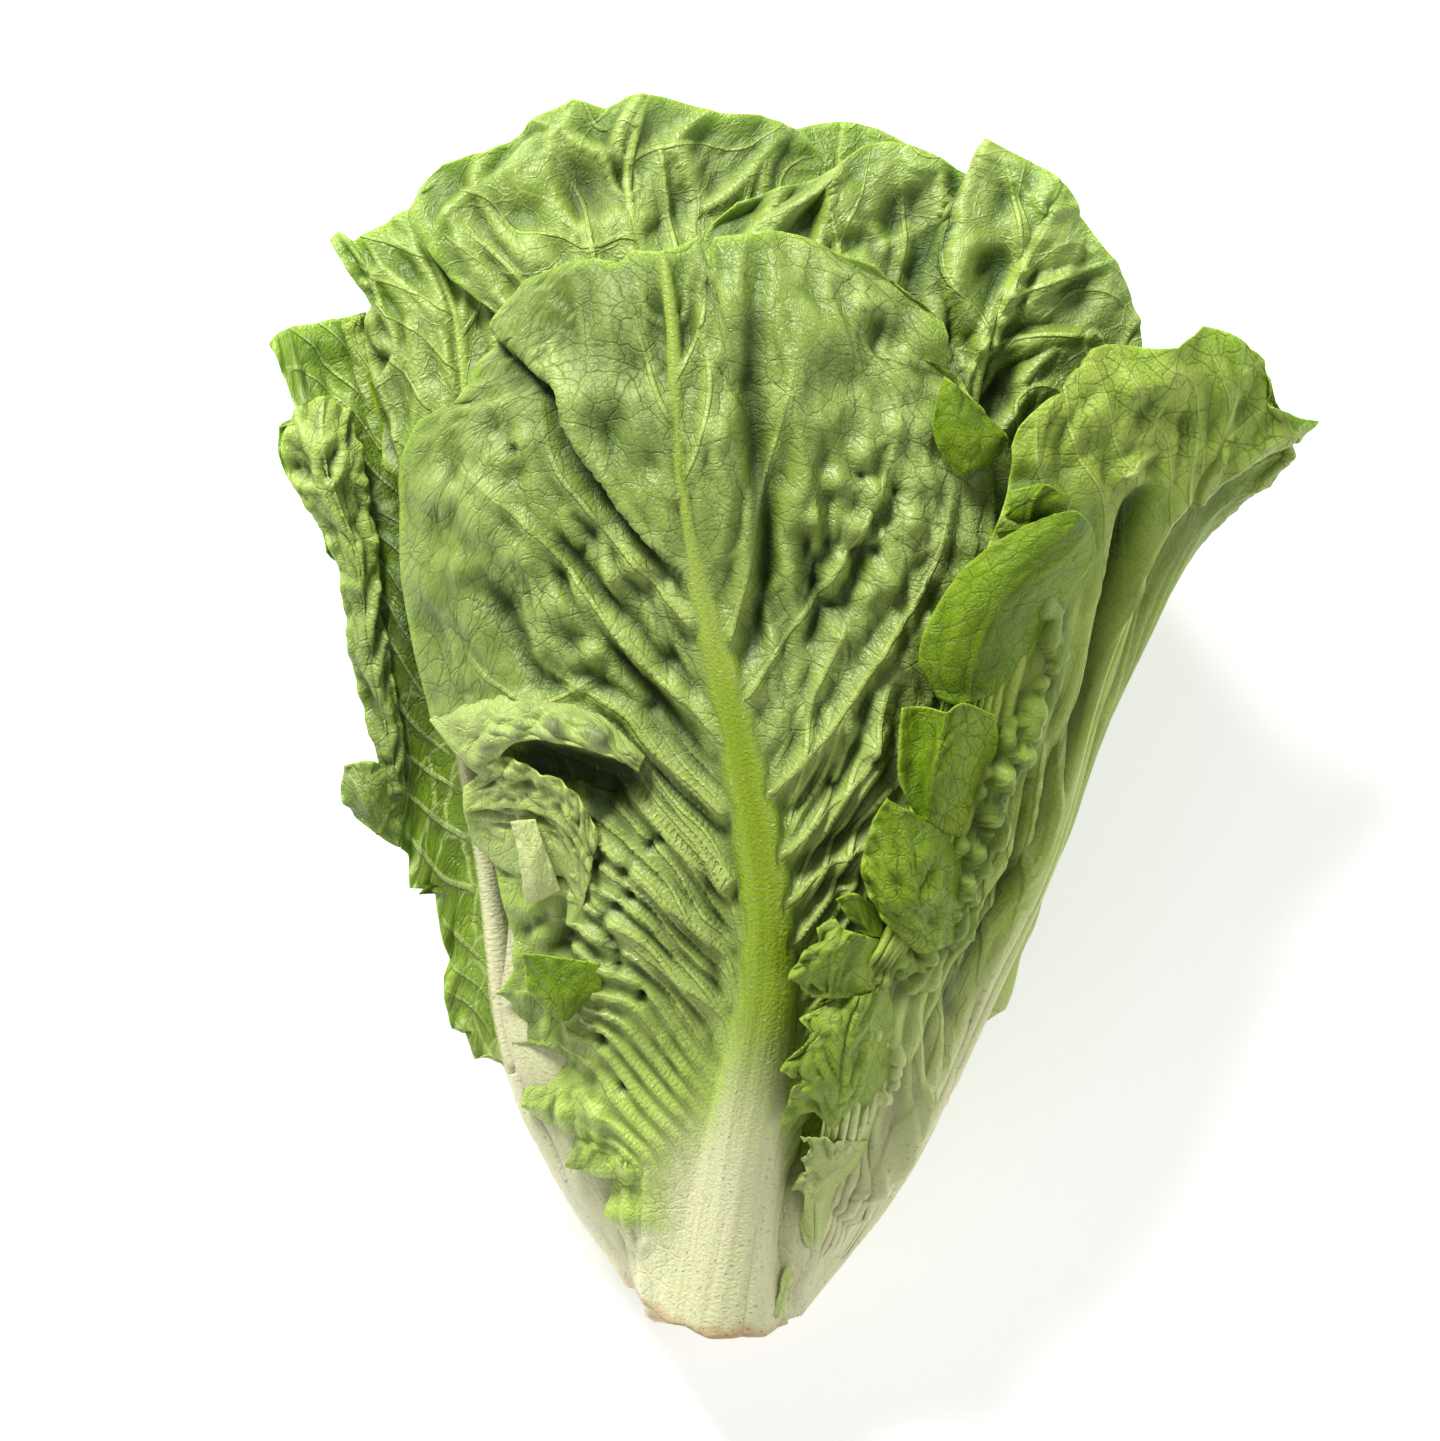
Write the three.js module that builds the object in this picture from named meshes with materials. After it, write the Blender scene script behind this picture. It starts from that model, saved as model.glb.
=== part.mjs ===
// A cut head of romaine lettuce lying on its back, built leaf by leaf.
// Millimetres, +Z up. +Y runs from the cut stem to the leaf tips, and the head lies on z = 0.
//
// Each leaf is a thin closed plate. Its middle surface is a net: rows across the leaf, from the
// base to the tip, with five points in each row from one margin over the rib to the other.
import * as THREE from 'three';

const BLADE_THICKNESS = 2.4;
const BASE_THICKNESS = 5.0;
const HEART_THICKNESS = 2.0;
const HEART_BASE_THICKNESS = 2.4;
const FLOOR_Z = 0;

const STEM_CENTRE = { x: -16.5, z: 20 };
const STEM_CUT_Y = -134.5;
const STEM_TOP_Y = -98;
const STEM_RADIUS = 13;

const COLOURS = {
  outer: 0x83a84f,
  inner: 0x9fc063,
  heart: 0xc9d98a,
  stem: 0xe2dfc4,
};

const OUTER_LEAVES = {
  front_leaf: {
    colour: COLOURS.outer,
    steps: [14, 8],
    net: [
      [[-29, -127, 36], [-25, -129, 38.5], [-19, -130, 40], [-11, -130, 39], [-5, -128, 36]],
      [[-38, -107, 40], [-28, -108, 47], [-14, -108, 50], [-8, -108, 49], [-3, -106, 46]],
      [[-55, -86, 44], [-34, -88, 55], [-10, -88, 60], [-3, -88, 59], [3, -84, 54]],
      [[-65, -62, 54], [-38, -60, 67], [-6, -60, 73], [5, -60, 71], [13, -58, 66]],
      [[-67, -30, 64], [-40, -30, 78], [-7, -30, 84], [10, -30, 82], [25, -28, 76]],
      [[-79, 0, 73], [-48, 2, 87], [-13, 0, 93], [12, 2, 92], [36, 2, 85]],
      [[-84, 32, 80], [-56, 31, 93], [-21, 32, 100], [8, 31, 99], [43, 30, 90]],
      [[-84, 57, 86], [-57, 60, 98], [-25, 60, 106], [6, 60, 105], [43, 58, 94]],
      [[-66, 80, 92], [-48, 82, 102], [-26, 82, 108], [2, 83, 107], [33, 80, 99]],
      [[-55, 95, 95], [-42, 98, 101], [-28, 100, 106], [-5, 103, 105], [16, 97, 100]],
    ],
  },
  left_outer_leaf: {
    colour: COLOURS.outer,
    steps: [14, 8],
    net: [
      [[-32, -124, 28], [-34, -124, 25], [-35, -124, 21], [-34, -124, 15], [-30, -124, 9]],
      [[-41, -104, 33], [-45, -104, 31], [-47, -105, 27], [-46, -105, 16], [-36, -103, 8]],
      [[-54, -84, 37], [-57, -85, 35], [-58, -85, 31], [-57, -85, 18], [-44, -84, 8]],
      [[-72, -65, 44], [-68, -65, 42], [-63.5, -65, 37], [-63, -64, 20], [-46, -63, 8]],
      [[-80, -36, 52], [-75, -35, 51], [-68, -33, 46], [-68, -33, 24], [-50, -32, 8]],
      [[-87, -12, 58], [-81, -10, 57], [-73, -8, 52], [-74, -8, 28], [-54, -7, 9]],
      [[-95, 14, 64], [-88, 15, 62], [-78, 17, 57], [-80, 17, 32], [-60, 16, 11]],
      [[-102, 41, 70], [-94, 42, 67], [-84, 42, 61], [-87, 41, 38], [-68, 38, 15]],
      [[-111, 60, 74], [-101, 62, 70], [-91, 64, 63], [-94, 62, 44], [-78, 58, 22]],
      [[-112, 78, 72], [-106, 84, 68], [-99, 86, 62], [-99, 82, 50], [-90, 76, 36]],
    ],
  },
  right_outer_leaf: {
    colour: COLOURS.outer,
    steps: [14, 9],
    net: [
      [[-1, -126, 33], [2, -127, 29], [3, -128, 23], [2, -127, 15], [-3, -126, 9]],
      [[4, -105, 44], [14, -106, 38], [21, -106, 27], [18, -105, 15], [8, -104, 8]],
      [[3, -84, 67], [18, -85, 59], [31, -86, 36], [31, -85, 18], [18, -84, 8]],
      [[2, -62, 78], [20, -60, 75], [42, -61, 50], [43, -60, 21], [28, -58, 8]],
      [[16, -32, 88], [34, -31, 86], [56, -30, 58], [56, -30, 25], [38, -28, 8.5]],
      [[25, 3, 95], [43, 2, 94], [65, 0, 68], [67, 0, 32], [48, 0, 10]],
      [[28, 24, 98], [50, 28, 99], [75, 29, 72], [80, 24, 46], [62, 18, 20]],
      [[46, 50, 101], [62, 49, 99], [84, 47, 78], [95, 44, 56], [86, 36, 34]],
      [[52, 66, 102], [68, 66, 99], [94, 64, 82], [110, 60, 68], [103, 53, 50]],
      [[66, 72, 100], [76, 80, 97], [97, 82, 88], [106, 72, 80], [113, 65, 72]],
    ],
  },
  upper_left_leaf: {
    colour: COLOURS.inner,
    steps: [12, 7],
    net: [
      [[-34, -108, 28], [-32, -108, 33], [-29, -109, 36], [-26, -109, 37], [-24, -109, 37]],
      [[-50, -84, 33], [-47, -85, 40], [-41, -85, 44], [-35, -85, 46], [-30, -85, 47]],
      [[-60, -50, 42], [-56, -50, 52], [-49, -50, 58], [-41, -50, 61], [-34, -50, 62]],
      [[-70, -10, 54], [-66, -10, 62], [-58, -10, 69], [-49, -10, 74], [-40, -10, 76]],
      [[-78, 20, 67], [-72, 20, 73], [-64, 20, 77], [-55, 20, 80], [-46, 20, 81]],
      [[-88, 50, 74], [-80, 52, 79], [-70, 54, 82], [-60, 54, 84], [-50, 54, 83]],
      [[-94, 82, 75], [-84, 84, 78], [-73, 86, 80], [-62, 86, 80], [-52, 86, 79]],
      [[-100, 102, 70], [-92, 107, 72], [-84, 110, 73], [-74, 107, 73], [-64, 100, 74]],
    ],
  },
  top_back_leaf: {
    colour: COLOURS.inner,
    steps: [12, 8],
    net: [
      [[-21, -100, 41], [-17, -100, 43], [-12, -100, 43.5], [-7, -100, 43], [-3, -100, 41]],
      [[-24, -60, 60], [-18, -60, 62.5], [-11, -60, 63.5], [-4, -60, 62.5], [1, -60, 60]],
      [[-30, -20, 75], [-21, -20, 78], [-11, -20, 79.5], [-2, -20, 78.5], [4, -20, 76]],
      [[-39, 20, 86], [-30, 20, 89], [-18, 20, 91], [-6, 20, 90], [4, 20, 86]],
      [[-54, 60, 90.5], [-42, 60, 94], [-26, 60, 96], [-10, 60, 93], [8, 60, 86]],
      [[-66, 88, 88], [-50, 90, 93], [-32, 92, 94], [-12, 92, 89], [10, 90, 81]],
      [[-80, 112, 84], [-60, 116, 89], [-36, 118, 91], [-12, 116, 86], [12, 112, 78]],
      [[-72, 121, 83], [-54, 131, 85], [-32, 135, 86], [-12, 131, 83], [4, 127, 77]],
    ],
  },
  upper_right_leaf: {
    colour: COLOURS.inner,
    steps: [12, 8],
    net: [
      [[0, -99, 36], [4, -99, 36.5], [8, -99, 35], [11, -99, 32.5], [12, -99, 30]],
      [[7, -60, 56], [15, -60, 56], [24, -60, 53], [31, -60, 47], [34, -60, 40]],
      [[10, -20, 70], [22, -20, 71], [34, -20, 68], [43, -20, 61], [47, -20, 52]],
      [[10, 20, 84], [26, 20, 84], [42, 20, 80], [53, 20, 73], [59, 20, 64]],
      [[4, 60, 94], [22, 61, 90], [38, 62, 86.5], [54, 62, 82], [68, 60, 74]],
      [[-10, 88, 96], [14, 90, 92], [43, 86, 88], [61, 84, 84], [74, 82, 78]],
      [[-18, 103, 94], [12, 110, 90], [51, 100, 88], [64, 94, 84], [75, 85, 80]],
      [[-12, 111, 92], [20, 124, 88], [59, 114, 86], [68, 101, 83], [74, 90, 80]],
    ],
  },
  far_top_leaf: {
    colour: COLOURS.inner,
    steps: [10, 6],
    net: [
      [[-17, -99, 34], [-14, -99, 35.5], [-11, -99, 36], [-8, -99, 35.5], [-5, -99, 34]],
      [[-18, -60, 50], [-13, -60, 52], [-7, -60, 53], [-1, -60, 52], [3, -60, 50]],
      [[-20, -20, 65], [-12, -20, 67], [-3, -20, 68], [6, -20, 66], [12, -20, 62]],
      [[-22, 20, 76], [-11, 20, 78], [1, 20, 78], [13, 20, 76], [24, 20, 71]],
      [[-22, 60, 80], [-10, 60, 81], [6, 60, 79], [21, 60, 77], [36, 60, 72]],
      [[-20, 90, 78], [-8, 92, 78], [8, 92, 74], [22, 92, 73], [36, 88, 70]],
      [[-16, 110, 76], [-6, 113, 74], [9, 114, 69], [23, 113, 68], [36, 108, 66]],
      [[-8, 122, 73], [0, 128, 70], [11, 130, 66], [22, 127, 65], [31, 120, 64]],
    ],
  },
  under_leaf: {
    colour: COLOURS.outer,
    steps: [12, 8],
    net: [
      [[-26, -122, 6], [-22, -123, 4.5], [-16, -124, 4], [-10, -123, 4.5], [-7, -122, 6]],
      [[-38, -100, 3], [-28, -100, 1.2], [-16, -100, 1.2], [-4, -100, 1.2], [7, -100, 3]],
      [[-46, -60, 2.6], [-30, -60, 1.2], [-13, -60, 1.2], [4, -60, 1.2], [20, -60, 2.6]],
      [[-52, -20, 2.6], [-34, -20, 1.2], [-10, -20, 1.2], [14, -20, 1.2], [32, -20, 2.6]],
      [[-58, 20, 3], [-38, 20, 1.2], [-8, 20, 1.2], [22, 20, 1.2], [42, 20, 3]],
      [[-60, 60, 3.5], [-38, 62, 1.2], [-6, 64, 1.2], [26, 62, 1.2], [48, 60, 3.5]],
      [[-54, 88, 8], [-34, 92, 3], [-5, 94, 2], [24, 92, 3], [44, 88, 8]],
      [[-44, 106, 16], [-26, 112, 11], [-4, 115, 9], [18, 112, 11], [36, 106, 16]],
    ],
  },
  under_left_leaf: {
    colour: COLOURS.inner,
    steps: [10, 7],
    net: [
      [[-34, -108, 23], [-34, -108, 18], [-31, -108, 13], [-25, -108, 10], [-18, -108, 9]],
      [[-50, -80, 29], [-50, -80, 21], [-43, -80, 14], [-32, -80, 10], [-18, -80, 9]],
      [[-58, -40, 36], [-59, -40, 25], [-50, -40, 15], [-34, -40, 10], [-14, -40, 8.5]],
      [[-66, 0, 44], [-66, 0, 30], [-54, 0, 18], [-34, 0, 11], [-10, 0, 8.5]],
      [[-78, 45, 54], [-77, 45, 37], [-62, 45, 23], [-40, 45, 14], [-12, 45, 9.5]],
      [[-88, 80, 62], [-84, 82, 47], [-66, 84, 33], [-42, 86, 23], [-14, 84, 17]],
      [[-82, 102, 62], [-74, 108, 52], [-56, 110, 42], [-38, 110, 33], [-20, 106, 26]],
    ],
  },
  under_right_leaf: {
    colour: COLOURS.inner,
    steps: [10, 7],
    net: [
      [[-12, -108, 9], [-6, -108, 10.5], [-1, -108, 13], [3, -108, 16], [5, -108, 19]],
      [[-9, -80, 10], [2, -80, 11], [13, -80, 14], [21, -80, 18.5], [24, -80, 24]],
      [[-5, -40, 11], [10, -40, 12], [27, -40, 16], [38, -40, 23], [42, -40, 31]],
      [[0, 0, 13], [18, 0, 14], [37, 0, 19.5], [50, 0, 29], [54, 0, 39]],
      [[-2, 45, 15], [20, 45, 18], [44, 45, 26], [61, 45, 38], [66, 45, 50]],
      [[-4, 80, 23], [20, 82, 26], [44, 82, 36], [62, 80, 49], [69, 76, 60]],
      [[4, 102, 32], [22, 106, 37], [42, 104, 47], [56, 98, 59], [64, 92, 67]],
    ],
  },
};

// The heart: rings of three leaves round a line that rises from the stem.
// Each station is [y, centre x, centre z, half width of the heart, half height of the heart].
const HEART_STATIONS = [
  [-94, -12.5, 24.5, 8, 6],
  [-60, -10, 32, 23, 14],
  [-20, -7, 39.5, 37, 20],
  [25, -4, 45, 44, 25],
  [65, -3, 50, 46, 25],
  [100, -3, 53, 40, 21],
];
const HEART_RINGS = [
  { size: 0.92, start: 0, end: 0.98, turn: 90, reach: 74, spiral: 0.11 },
  { size: 0.6, start: 0.14, end: 0.92, turn: 30, reach: 72, spiral: 0.15 },
  { size: 0.3, start: 0.32, end: 0.84, turn: 80, reach: 64, spiral: 0.24 },
];
const HEART_LEAVES_PER_RING = 3;
const HEART_STEPS = [9, 6];
const HEART_BASE_REACH = 47;

const along = (points, t) =>
  new THREE.CatmullRomCurve3(points, false, 'catmullrom').getPoint(t);

// The middle surface of a leaf as a grid of points, (steps[0] + 1) rows of (steps[1] + 1).
function surfaceGrid(net, steps) {
  const columns = net[0].map((_, j) => net.map((row) => new THREE.Vector3(...row[j])));
  const grid = [];
  for (let i = 0; i <= steps[0]; i += 1) {
    const row = columns.map((column) => along(column, i / steps[0]));
    const points = [];
    for (let j = 0; j <= steps[1]; j += 1) {
      points.push(along(row, j / steps[1]));
    }
    grid.push(points);
  }
  return grid;
}

function surfaceNormal(grid, i, j) {
  const rows = grid.length - 1;
  const cols = grid[0].length - 1;
  const lengthwise = new THREE.Vector3().subVectors(
    grid[Math.min(i + 1, rows)][j],
    grid[Math.max(i - 1, 0)][j],
  );
  const crosswise = new THREE.Vector3().subVectors(
    grid[i][Math.min(j + 1, cols)],
    grid[i][Math.max(j - 1, 0)],
  );
  return crosswise.cross(lengthwise).normalize();
}

// Thickens a grid into one closed plate, thick at the base and thin in the blade.
function plate(grid, bladeThickness, baseThickness) {
  const rows = grid.length;
  const cols = grid[0].length;
  const positions = [];
  for (const side of [1, -1]) {
    for (let i = 0; i < rows; i += 1) {
      const baseShare = Math.max(0, 1 - (2.5 * i) / (rows - 1)) ** 2;
      const half = (bladeThickness + (baseThickness - bladeThickness) * baseShare) / 2;
      for (let j = 0; j < cols; j += 1) {
        const point = grid[i][j].clone().addScaledVector(surfaceNormal(grid, i, j), side * half);
        positions.push(point.x, point.y, Math.max(point.z, FLOOR_Z));
      }
    }
  }
  const back = rows * cols;
  const triangles = [];
  const quad = (a, b, c, d) => triangles.push(a, b, c, a, c, d);
  for (let i = 0; i < rows - 1; i += 1) {
    for (let j = 0; j < cols - 1; j += 1) {
      const a = i * cols + j;
      quad(a, a + 1, a + cols + 1, a + cols);
      quad(back + a, back + a + cols, back + a + cols + 1, back + a + 1);
    }
  }
  const rim = [];
  for (let j = 0; j < cols - 1; j += 1) rim.push(j);
  for (let i = 0; i < rows - 1; i += 1) rim.push(i * cols + cols - 1);
  for (let j = cols - 1; j > 0; j -= 1) rim.push((rows - 1) * cols + j);
  for (let i = rows - 1; i > 0; i -= 1) rim.push(i * cols);
  rim.forEach((a, k) => {
    const b = rim[(k + 1) % rim.length];
    quad(a, back + a, back + b, b);
  });
  const geometry = new THREE.BufferGeometry();
  geometry.setAttribute('position', new THREE.Float32BufferAttribute(positions, 3));
  geometry.setIndex(triangles);
  geometry.computeVertexNormals();
  return geometry;
}

// One heart leaf: an arc of its ring at each station, wound slightly inwards from edge to edge
// so that its neighbours in the ring overlap it without touching.
function heartNet(ring, angle) {
  const rowCount = 6;
  const colCount = 5;
  const centres = HEART_STATIONS.map((s) => new THREE.Vector3(s[0], s[1], s[2]));
  const radii = HEART_STATIONS.map((s) => new THREE.Vector3(s[0], s[3], s[4]));
  const net = [];
  for (let i = 0; i < rowCount; i += 1) {
    const share = i / (rowCount - 1);
    const t = ring.start + (ring.end - ring.start) * share;
    const centre = along(centres, t);
    const radius = along(radii, t);
    const widening = THREE.MathUtils.smoothstep(share, 0, 0.6);
    const reach = HEART_BASE_REACH + (ring.reach - HEART_BASE_REACH) * widening;
    const row = [];
    for (let j = 0; j < colCount; j += 1) {
      const across = (2 * j) / (colCount - 1) - 1;
      const phi = THREE.MathUtils.degToRad(angle + across * reach);
      const size = ring.size * (1 + ring.spiral * across * (0.4 + share));
      const sag = share === 1 ? 7 * across ** 2 : 0;
      row.push([
        centre.y + radius.y * size * Math.cos(phi),
        centre.x - sag,
        centre.z + radius.z * size * Math.sin(phi),
      ]);
    }
    net.push(row);
  }
  return net;
}

// The cut stem: a short cone, rounded over at the cut face.
function stemGeometry() {
  const length = STEM_TOP_Y - STEM_CUT_Y;
  const profile = [
    [0, 0],
    [STEM_RADIUS * 0.9, 0],
    [STEM_RADIUS, 1.5],
    [STEM_RADIUS * 0.97, length * 0.4],
    [STEM_RADIUS * 0.55, length * 0.75],
    [STEM_RADIUS * 0.22, length],
    [0, length],
  ].map(([radius, height]) => new THREE.Vector2(radius, height));
  return new THREE.LatheGeometry(profile, 20);
}

function leafMesh(name, geometry, colour) {
  const material = new THREE.MeshStandardMaterial({
    color: colour,
    roughness: 0.45,
    metalness: 0,
    side: THREE.DoubleSide,
  });
  const mesh = new THREE.Mesh(geometry, material);
  mesh.name = name;
  return mesh;
}

const head = new THREE.Group();

const stem = leafMesh('stem_butt', stemGeometry(), COLOURS.stem);
stem.position.set(STEM_CENTRE.x, STEM_CUT_Y, STEM_CENTRE.z);
head.add(stem);

for (const [name, leaf] of Object.entries(OUTER_LEAVES)) {
  const grid = surfaceGrid(leaf.net, leaf.steps);
  head.add(leafMesh(name, plate(grid, BLADE_THICKNESS, BASE_THICKNESS), leaf.colour));
}

HEART_RINGS.forEach((ring, r) => {
  for (let k = 0; k < HEART_LEAVES_PER_RING; k += 1) {
    const angle = ring.turn + (360 * k) / HEART_LEAVES_PER_RING;
    const grid = surfaceGrid(heartNet(ring, angle), HEART_STEPS);
    const name = `heart_leaf_${r * HEART_LEAVES_PER_RING + k + 1}`;
    head.add(leafMesh(name, plate(grid, HEART_THICKNESS, HEART_BASE_THICKNESS), COLOURS.heart));
  }
});

// The origin is the centre of the footprint, on the surface that the head lies on.
const footprint = new THREE.Box3().setFromObject(head);
const centre = footprint.getCenter(new THREE.Vector3());
head.position.set(-centre.x, -centre.y, -footprint.min.z);

export default head;
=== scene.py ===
"""A cut head of romaine lettuce lying on its back, leaf by leaf, round a short cut stem."""
import math
import bpy
import numpy as np
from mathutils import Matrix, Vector


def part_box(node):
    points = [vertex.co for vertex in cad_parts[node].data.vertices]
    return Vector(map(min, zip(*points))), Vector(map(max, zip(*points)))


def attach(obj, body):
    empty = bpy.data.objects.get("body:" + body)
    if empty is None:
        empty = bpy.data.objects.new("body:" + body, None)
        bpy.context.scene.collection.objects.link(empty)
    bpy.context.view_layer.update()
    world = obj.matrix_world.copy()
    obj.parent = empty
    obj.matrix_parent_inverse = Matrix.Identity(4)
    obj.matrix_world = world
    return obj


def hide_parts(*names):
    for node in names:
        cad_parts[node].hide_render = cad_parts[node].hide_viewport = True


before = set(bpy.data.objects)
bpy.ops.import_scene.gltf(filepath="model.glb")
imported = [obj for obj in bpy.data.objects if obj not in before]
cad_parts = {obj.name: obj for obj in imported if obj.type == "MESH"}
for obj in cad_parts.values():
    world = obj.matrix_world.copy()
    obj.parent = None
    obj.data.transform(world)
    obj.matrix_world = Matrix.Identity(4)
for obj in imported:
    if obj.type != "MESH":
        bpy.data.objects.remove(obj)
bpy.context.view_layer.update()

MM = 0.001
STEM_X, STEM_CUT_Y, STEM_Z = -16.5, -134.5, 20.0  # middle and cut face of the stem in drawing mm
STEM_RADIUS = 16.2
BLADE = 0.7           # thickness of a leaf blade
CAVITY_SHADING_REACH, CAVITY_SHADING_DEPTH = 2.6, 1.45   # how far round a point hollows and crests are judged, and the depth that gives full painted shade in a hollow and full highlight on a crest
stem_low, stem_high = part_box("stem_butt")
SHIFT = np.array([
    (stem_low.x + stem_high.x) / 2 / MM - STEM_X,
    stem_low.y / MM - STEM_CUT_Y,
    0.0,
])


# ---------------------------------------------------------------- curves, noise and pillows

def smooth(low_edge, high_edge, x):
    t = np.clip((x - low_edge) / (high_edge - low_edge), 0, 1)
    return t * t * (3 - 2 * t)


def spline(points, t):
    """Points on the smooth curve through the first axis of points, at t from 0 to 1."""
    points = np.asarray(points, float)
    last = len(points) - 1
    ghost = np.concatenate([
        [2 * points[0] - points[1]], points, [2 * points[-1] - points[-2]],
    ])
    s = np.clip(np.asarray(t, float) * last, 0, last)
    i = np.minimum(s.astype(int), last - 1)
    f = (s - i).reshape((-1,) + (1,) * (points.ndim - 1))
    a, b, c, d = ghost[i], ghost[i + 1], ghost[i + 2], ghost[i + 3]
    return b + 0.5 * f * (c - a + f * (2 * a - 5 * b + 4 * c - d + f * (3 * (b - c) + d - a)))


def scatter(i, j, seed):
    """A repeatable number from 0 to 1 for every lattice point."""
    n = (i * 374761393 + j * 668265263 + seed * 974634777) & 0xFFFFFFFF
    n = ((n ^ (n >> 13)) * 1274126177) & 0xFFFFFFFF
    return ((n ^ (n >> 16)) & 0xFFFF) / 65535.0


def swell(x, y, seed):
    """Smooth noise from -1 to 1 with lumps one unit apart."""
    i, j = np.floor(x).astype(np.int64), np.floor(y).astype(np.int64)
    fx, fy = x - i, y - j
    fx, fy = fx * fx * (3 - 2 * fx), fy * fy * (3 - 2 * fy)
    near = scatter(i, j, seed) * (1 - fx) + scatter(i + 1, j, seed) * fx
    far = scatter(i, j + 1, seed) * (1 - fx) + scatter(i + 1, j + 1, seed) * fx
    return 2 * (near * (1 - fy) + far * fy) - 1


def pillows(x, y, seed):
    """Cells one unit across: how far inside its cell each point is, and a number per cell."""
    i, j = np.floor(x).astype(np.int64), np.floor(y).astype(np.int64)
    first = np.full(x.shape, 9.0)
    second = np.full(x.shape, 9.0)
    owner = np.zeros(x.shape)
    for di in (-1, 0, 1):
        for dj in (-1, 0, 1):
            px = i + di + 0.12 + 0.76 * scatter(i + di, j + dj, seed)
            py = j + dj + 0.12 + 0.76 * scatter(i + di, j + dj, seed + 7)
            d = np.hypot(x - px, y - py)
            closer = d < first
            second = np.where(closer, first, np.minimum(second, d))
            owner = np.where(closer, scatter(i + di, j + dj, seed + 13), owner)
            first = np.where(closer, d, first)
    return second - first, owner


def near_path(x, y, path, steps=7):
    """Distance to a smooth path in the plane, the share of it passed, and the side (+ is left)."""
    count = (len(path) - 1) * steps + 1
    line = spline(np.array(path, float), np.linspace(0, 1, count))
    best = np.full(x.shape, 1e9)
    share = np.zeros(x.shape)
    side = np.zeros(x.shape)
    for k in range(count - 1):
        (ax, ay), (bx, by) = line[k], line[k + 1]
        dx, dy = bx - ax, by - ay
        length2 = dx * dx + dy * dy + 1e-9
        t = np.clip(((x - ax) * dx + (y - ay) * dy) / length2, 0, 1)
        px, py = x - ax - t * dx, y - ay - t * dy
        d = np.hypot(px, py)
        closer = d < best
        best = np.where(closer, d, best)
        share = np.where(closer, (k + t) / (count - 1), share)
        side = np.where(closer, np.sign(dx * py - dy * px), side)
    return best, share, side


# ---------------------------------------------------------------- leaf surfaces

def loft(net, rows, cols):
    """The smooth surface through a net of points, as (rows + 1) by (cols + 1) points."""
    lengthwise = spline(net, np.linspace(0, 1, rows + 1))
    across = spline(lengthwise.transpose(1, 0, 2), np.linspace(0, 1, cols + 1))
    return across.transpose(1, 0, 2)


def pull_margin(points, axis, end, targets, reach):
    """Moves one margin of the surface onto given points, fading out over reach."""
    edge = points[end, :] if axis == 0 else points[:, end]
    targets = np.array(targets, float)
    spots, moves = [], []
    for target in targets:
        d = np.hypot(edge[:, 0] - target[0], edge[:, 1] - target[1])
        k = int(np.argmin(d))
        spots.append(k)
        moves.append(target[:2] - edge[k, :2])
    spots, moves = np.array(spots, float), np.array(moves)
    order = np.argsort(spots, kind="stable")
    spots, moves = spots[order], moves[order]
    where = np.arange(len(edge))
    move = np.stack([np.interp(where, spots, moves[:, c]) for c in (0, 1)], axis=1)
    count = points.shape[axis]
    depth = np.arange(count) / (count - 1)
    if end == -1:
        depth = 1 - depth
    fade = 1 - smooth(0, reach, depth)
    if axis == 0:
        points[:, :, :2] += fade[:, None, None] * move[None]
    else:
        points[:, :, :2] += fade[None, :, None] * move[:, None]


def normals_of(points):
    along = np.gradient(points, axis=0)
    across = np.gradient(points, axis=1)
    n = np.cross(across, along)
    return n / (np.linalg.norm(n, axis=2, keepdims=True) + 1e-12)


def arc_lengths(points):
    """Distance along the rib, distance across from it, and distance along each line, in mm."""
    middle = points.shape[1] // 2
    rib = points[:, middle]
    s = np.concatenate([[0], np.cumsum(np.linalg.norm(np.diff(rib, axis=0), axis=1))])
    steps = np.linalg.norm(np.diff(points, axis=1), axis=2)
    t = np.concatenate([np.zeros((len(points), 1)), np.cumsum(steps, axis=1)], axis=1)
    t -= t[:, middle:middle + 1]
    run = np.cumsum(np.linalg.norm(np.diff(points, axis=0), axis=2), axis=0)
    run = np.concatenate([np.zeros((1, points.shape[1])), run])
    return np.broadcast_to(s[:, None], t.shape).copy(), t, run


def table(values, rows):
    return spline(np.array(values, float)[:, None], np.linspace(0, 1, rows + 1))[:, 0]


def ridge_relief(leaf, s, t, edge, away, seed):
    """Side veins that leave the rib at a slant, with troughs between them."""
    lean, gap, bend = leaf.get("lean", 1.1), leaf.get("vein_gap", 11.0), leaf.get("bend", 0.0)
    reach = np.abs(t)
    phase = (s - lean * reach - bend * reach ** 2) / gap
    phase = phase + leaf.get("stray", 0.25) * swell(s / 17, t / 13, seed) + 0.37 * (t > 0)
    cell = phase - np.floor(phase)
    distance = np.minimum(cell, 1 - cell) * gap / math.hypot(1, lean)
    width = leaf.get("vein_width", 0.9) * (1.15 - 0.6 * edge)
    fade = away * (1 - smooth(0.7, 1.0, edge))
    crest = np.exp(-(distance / width) ** 2) * fade
    trough = (0.5 - 0.5 * np.cos(2 * np.pi * cell)) * fade
    beads = 0.45 + 0.6 * np.clip(swell(s / 13.0, t / 9.0, seed + 29) + 0.5, 0, 1.4)
    return crest, trough * beads, phase, fade


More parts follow.
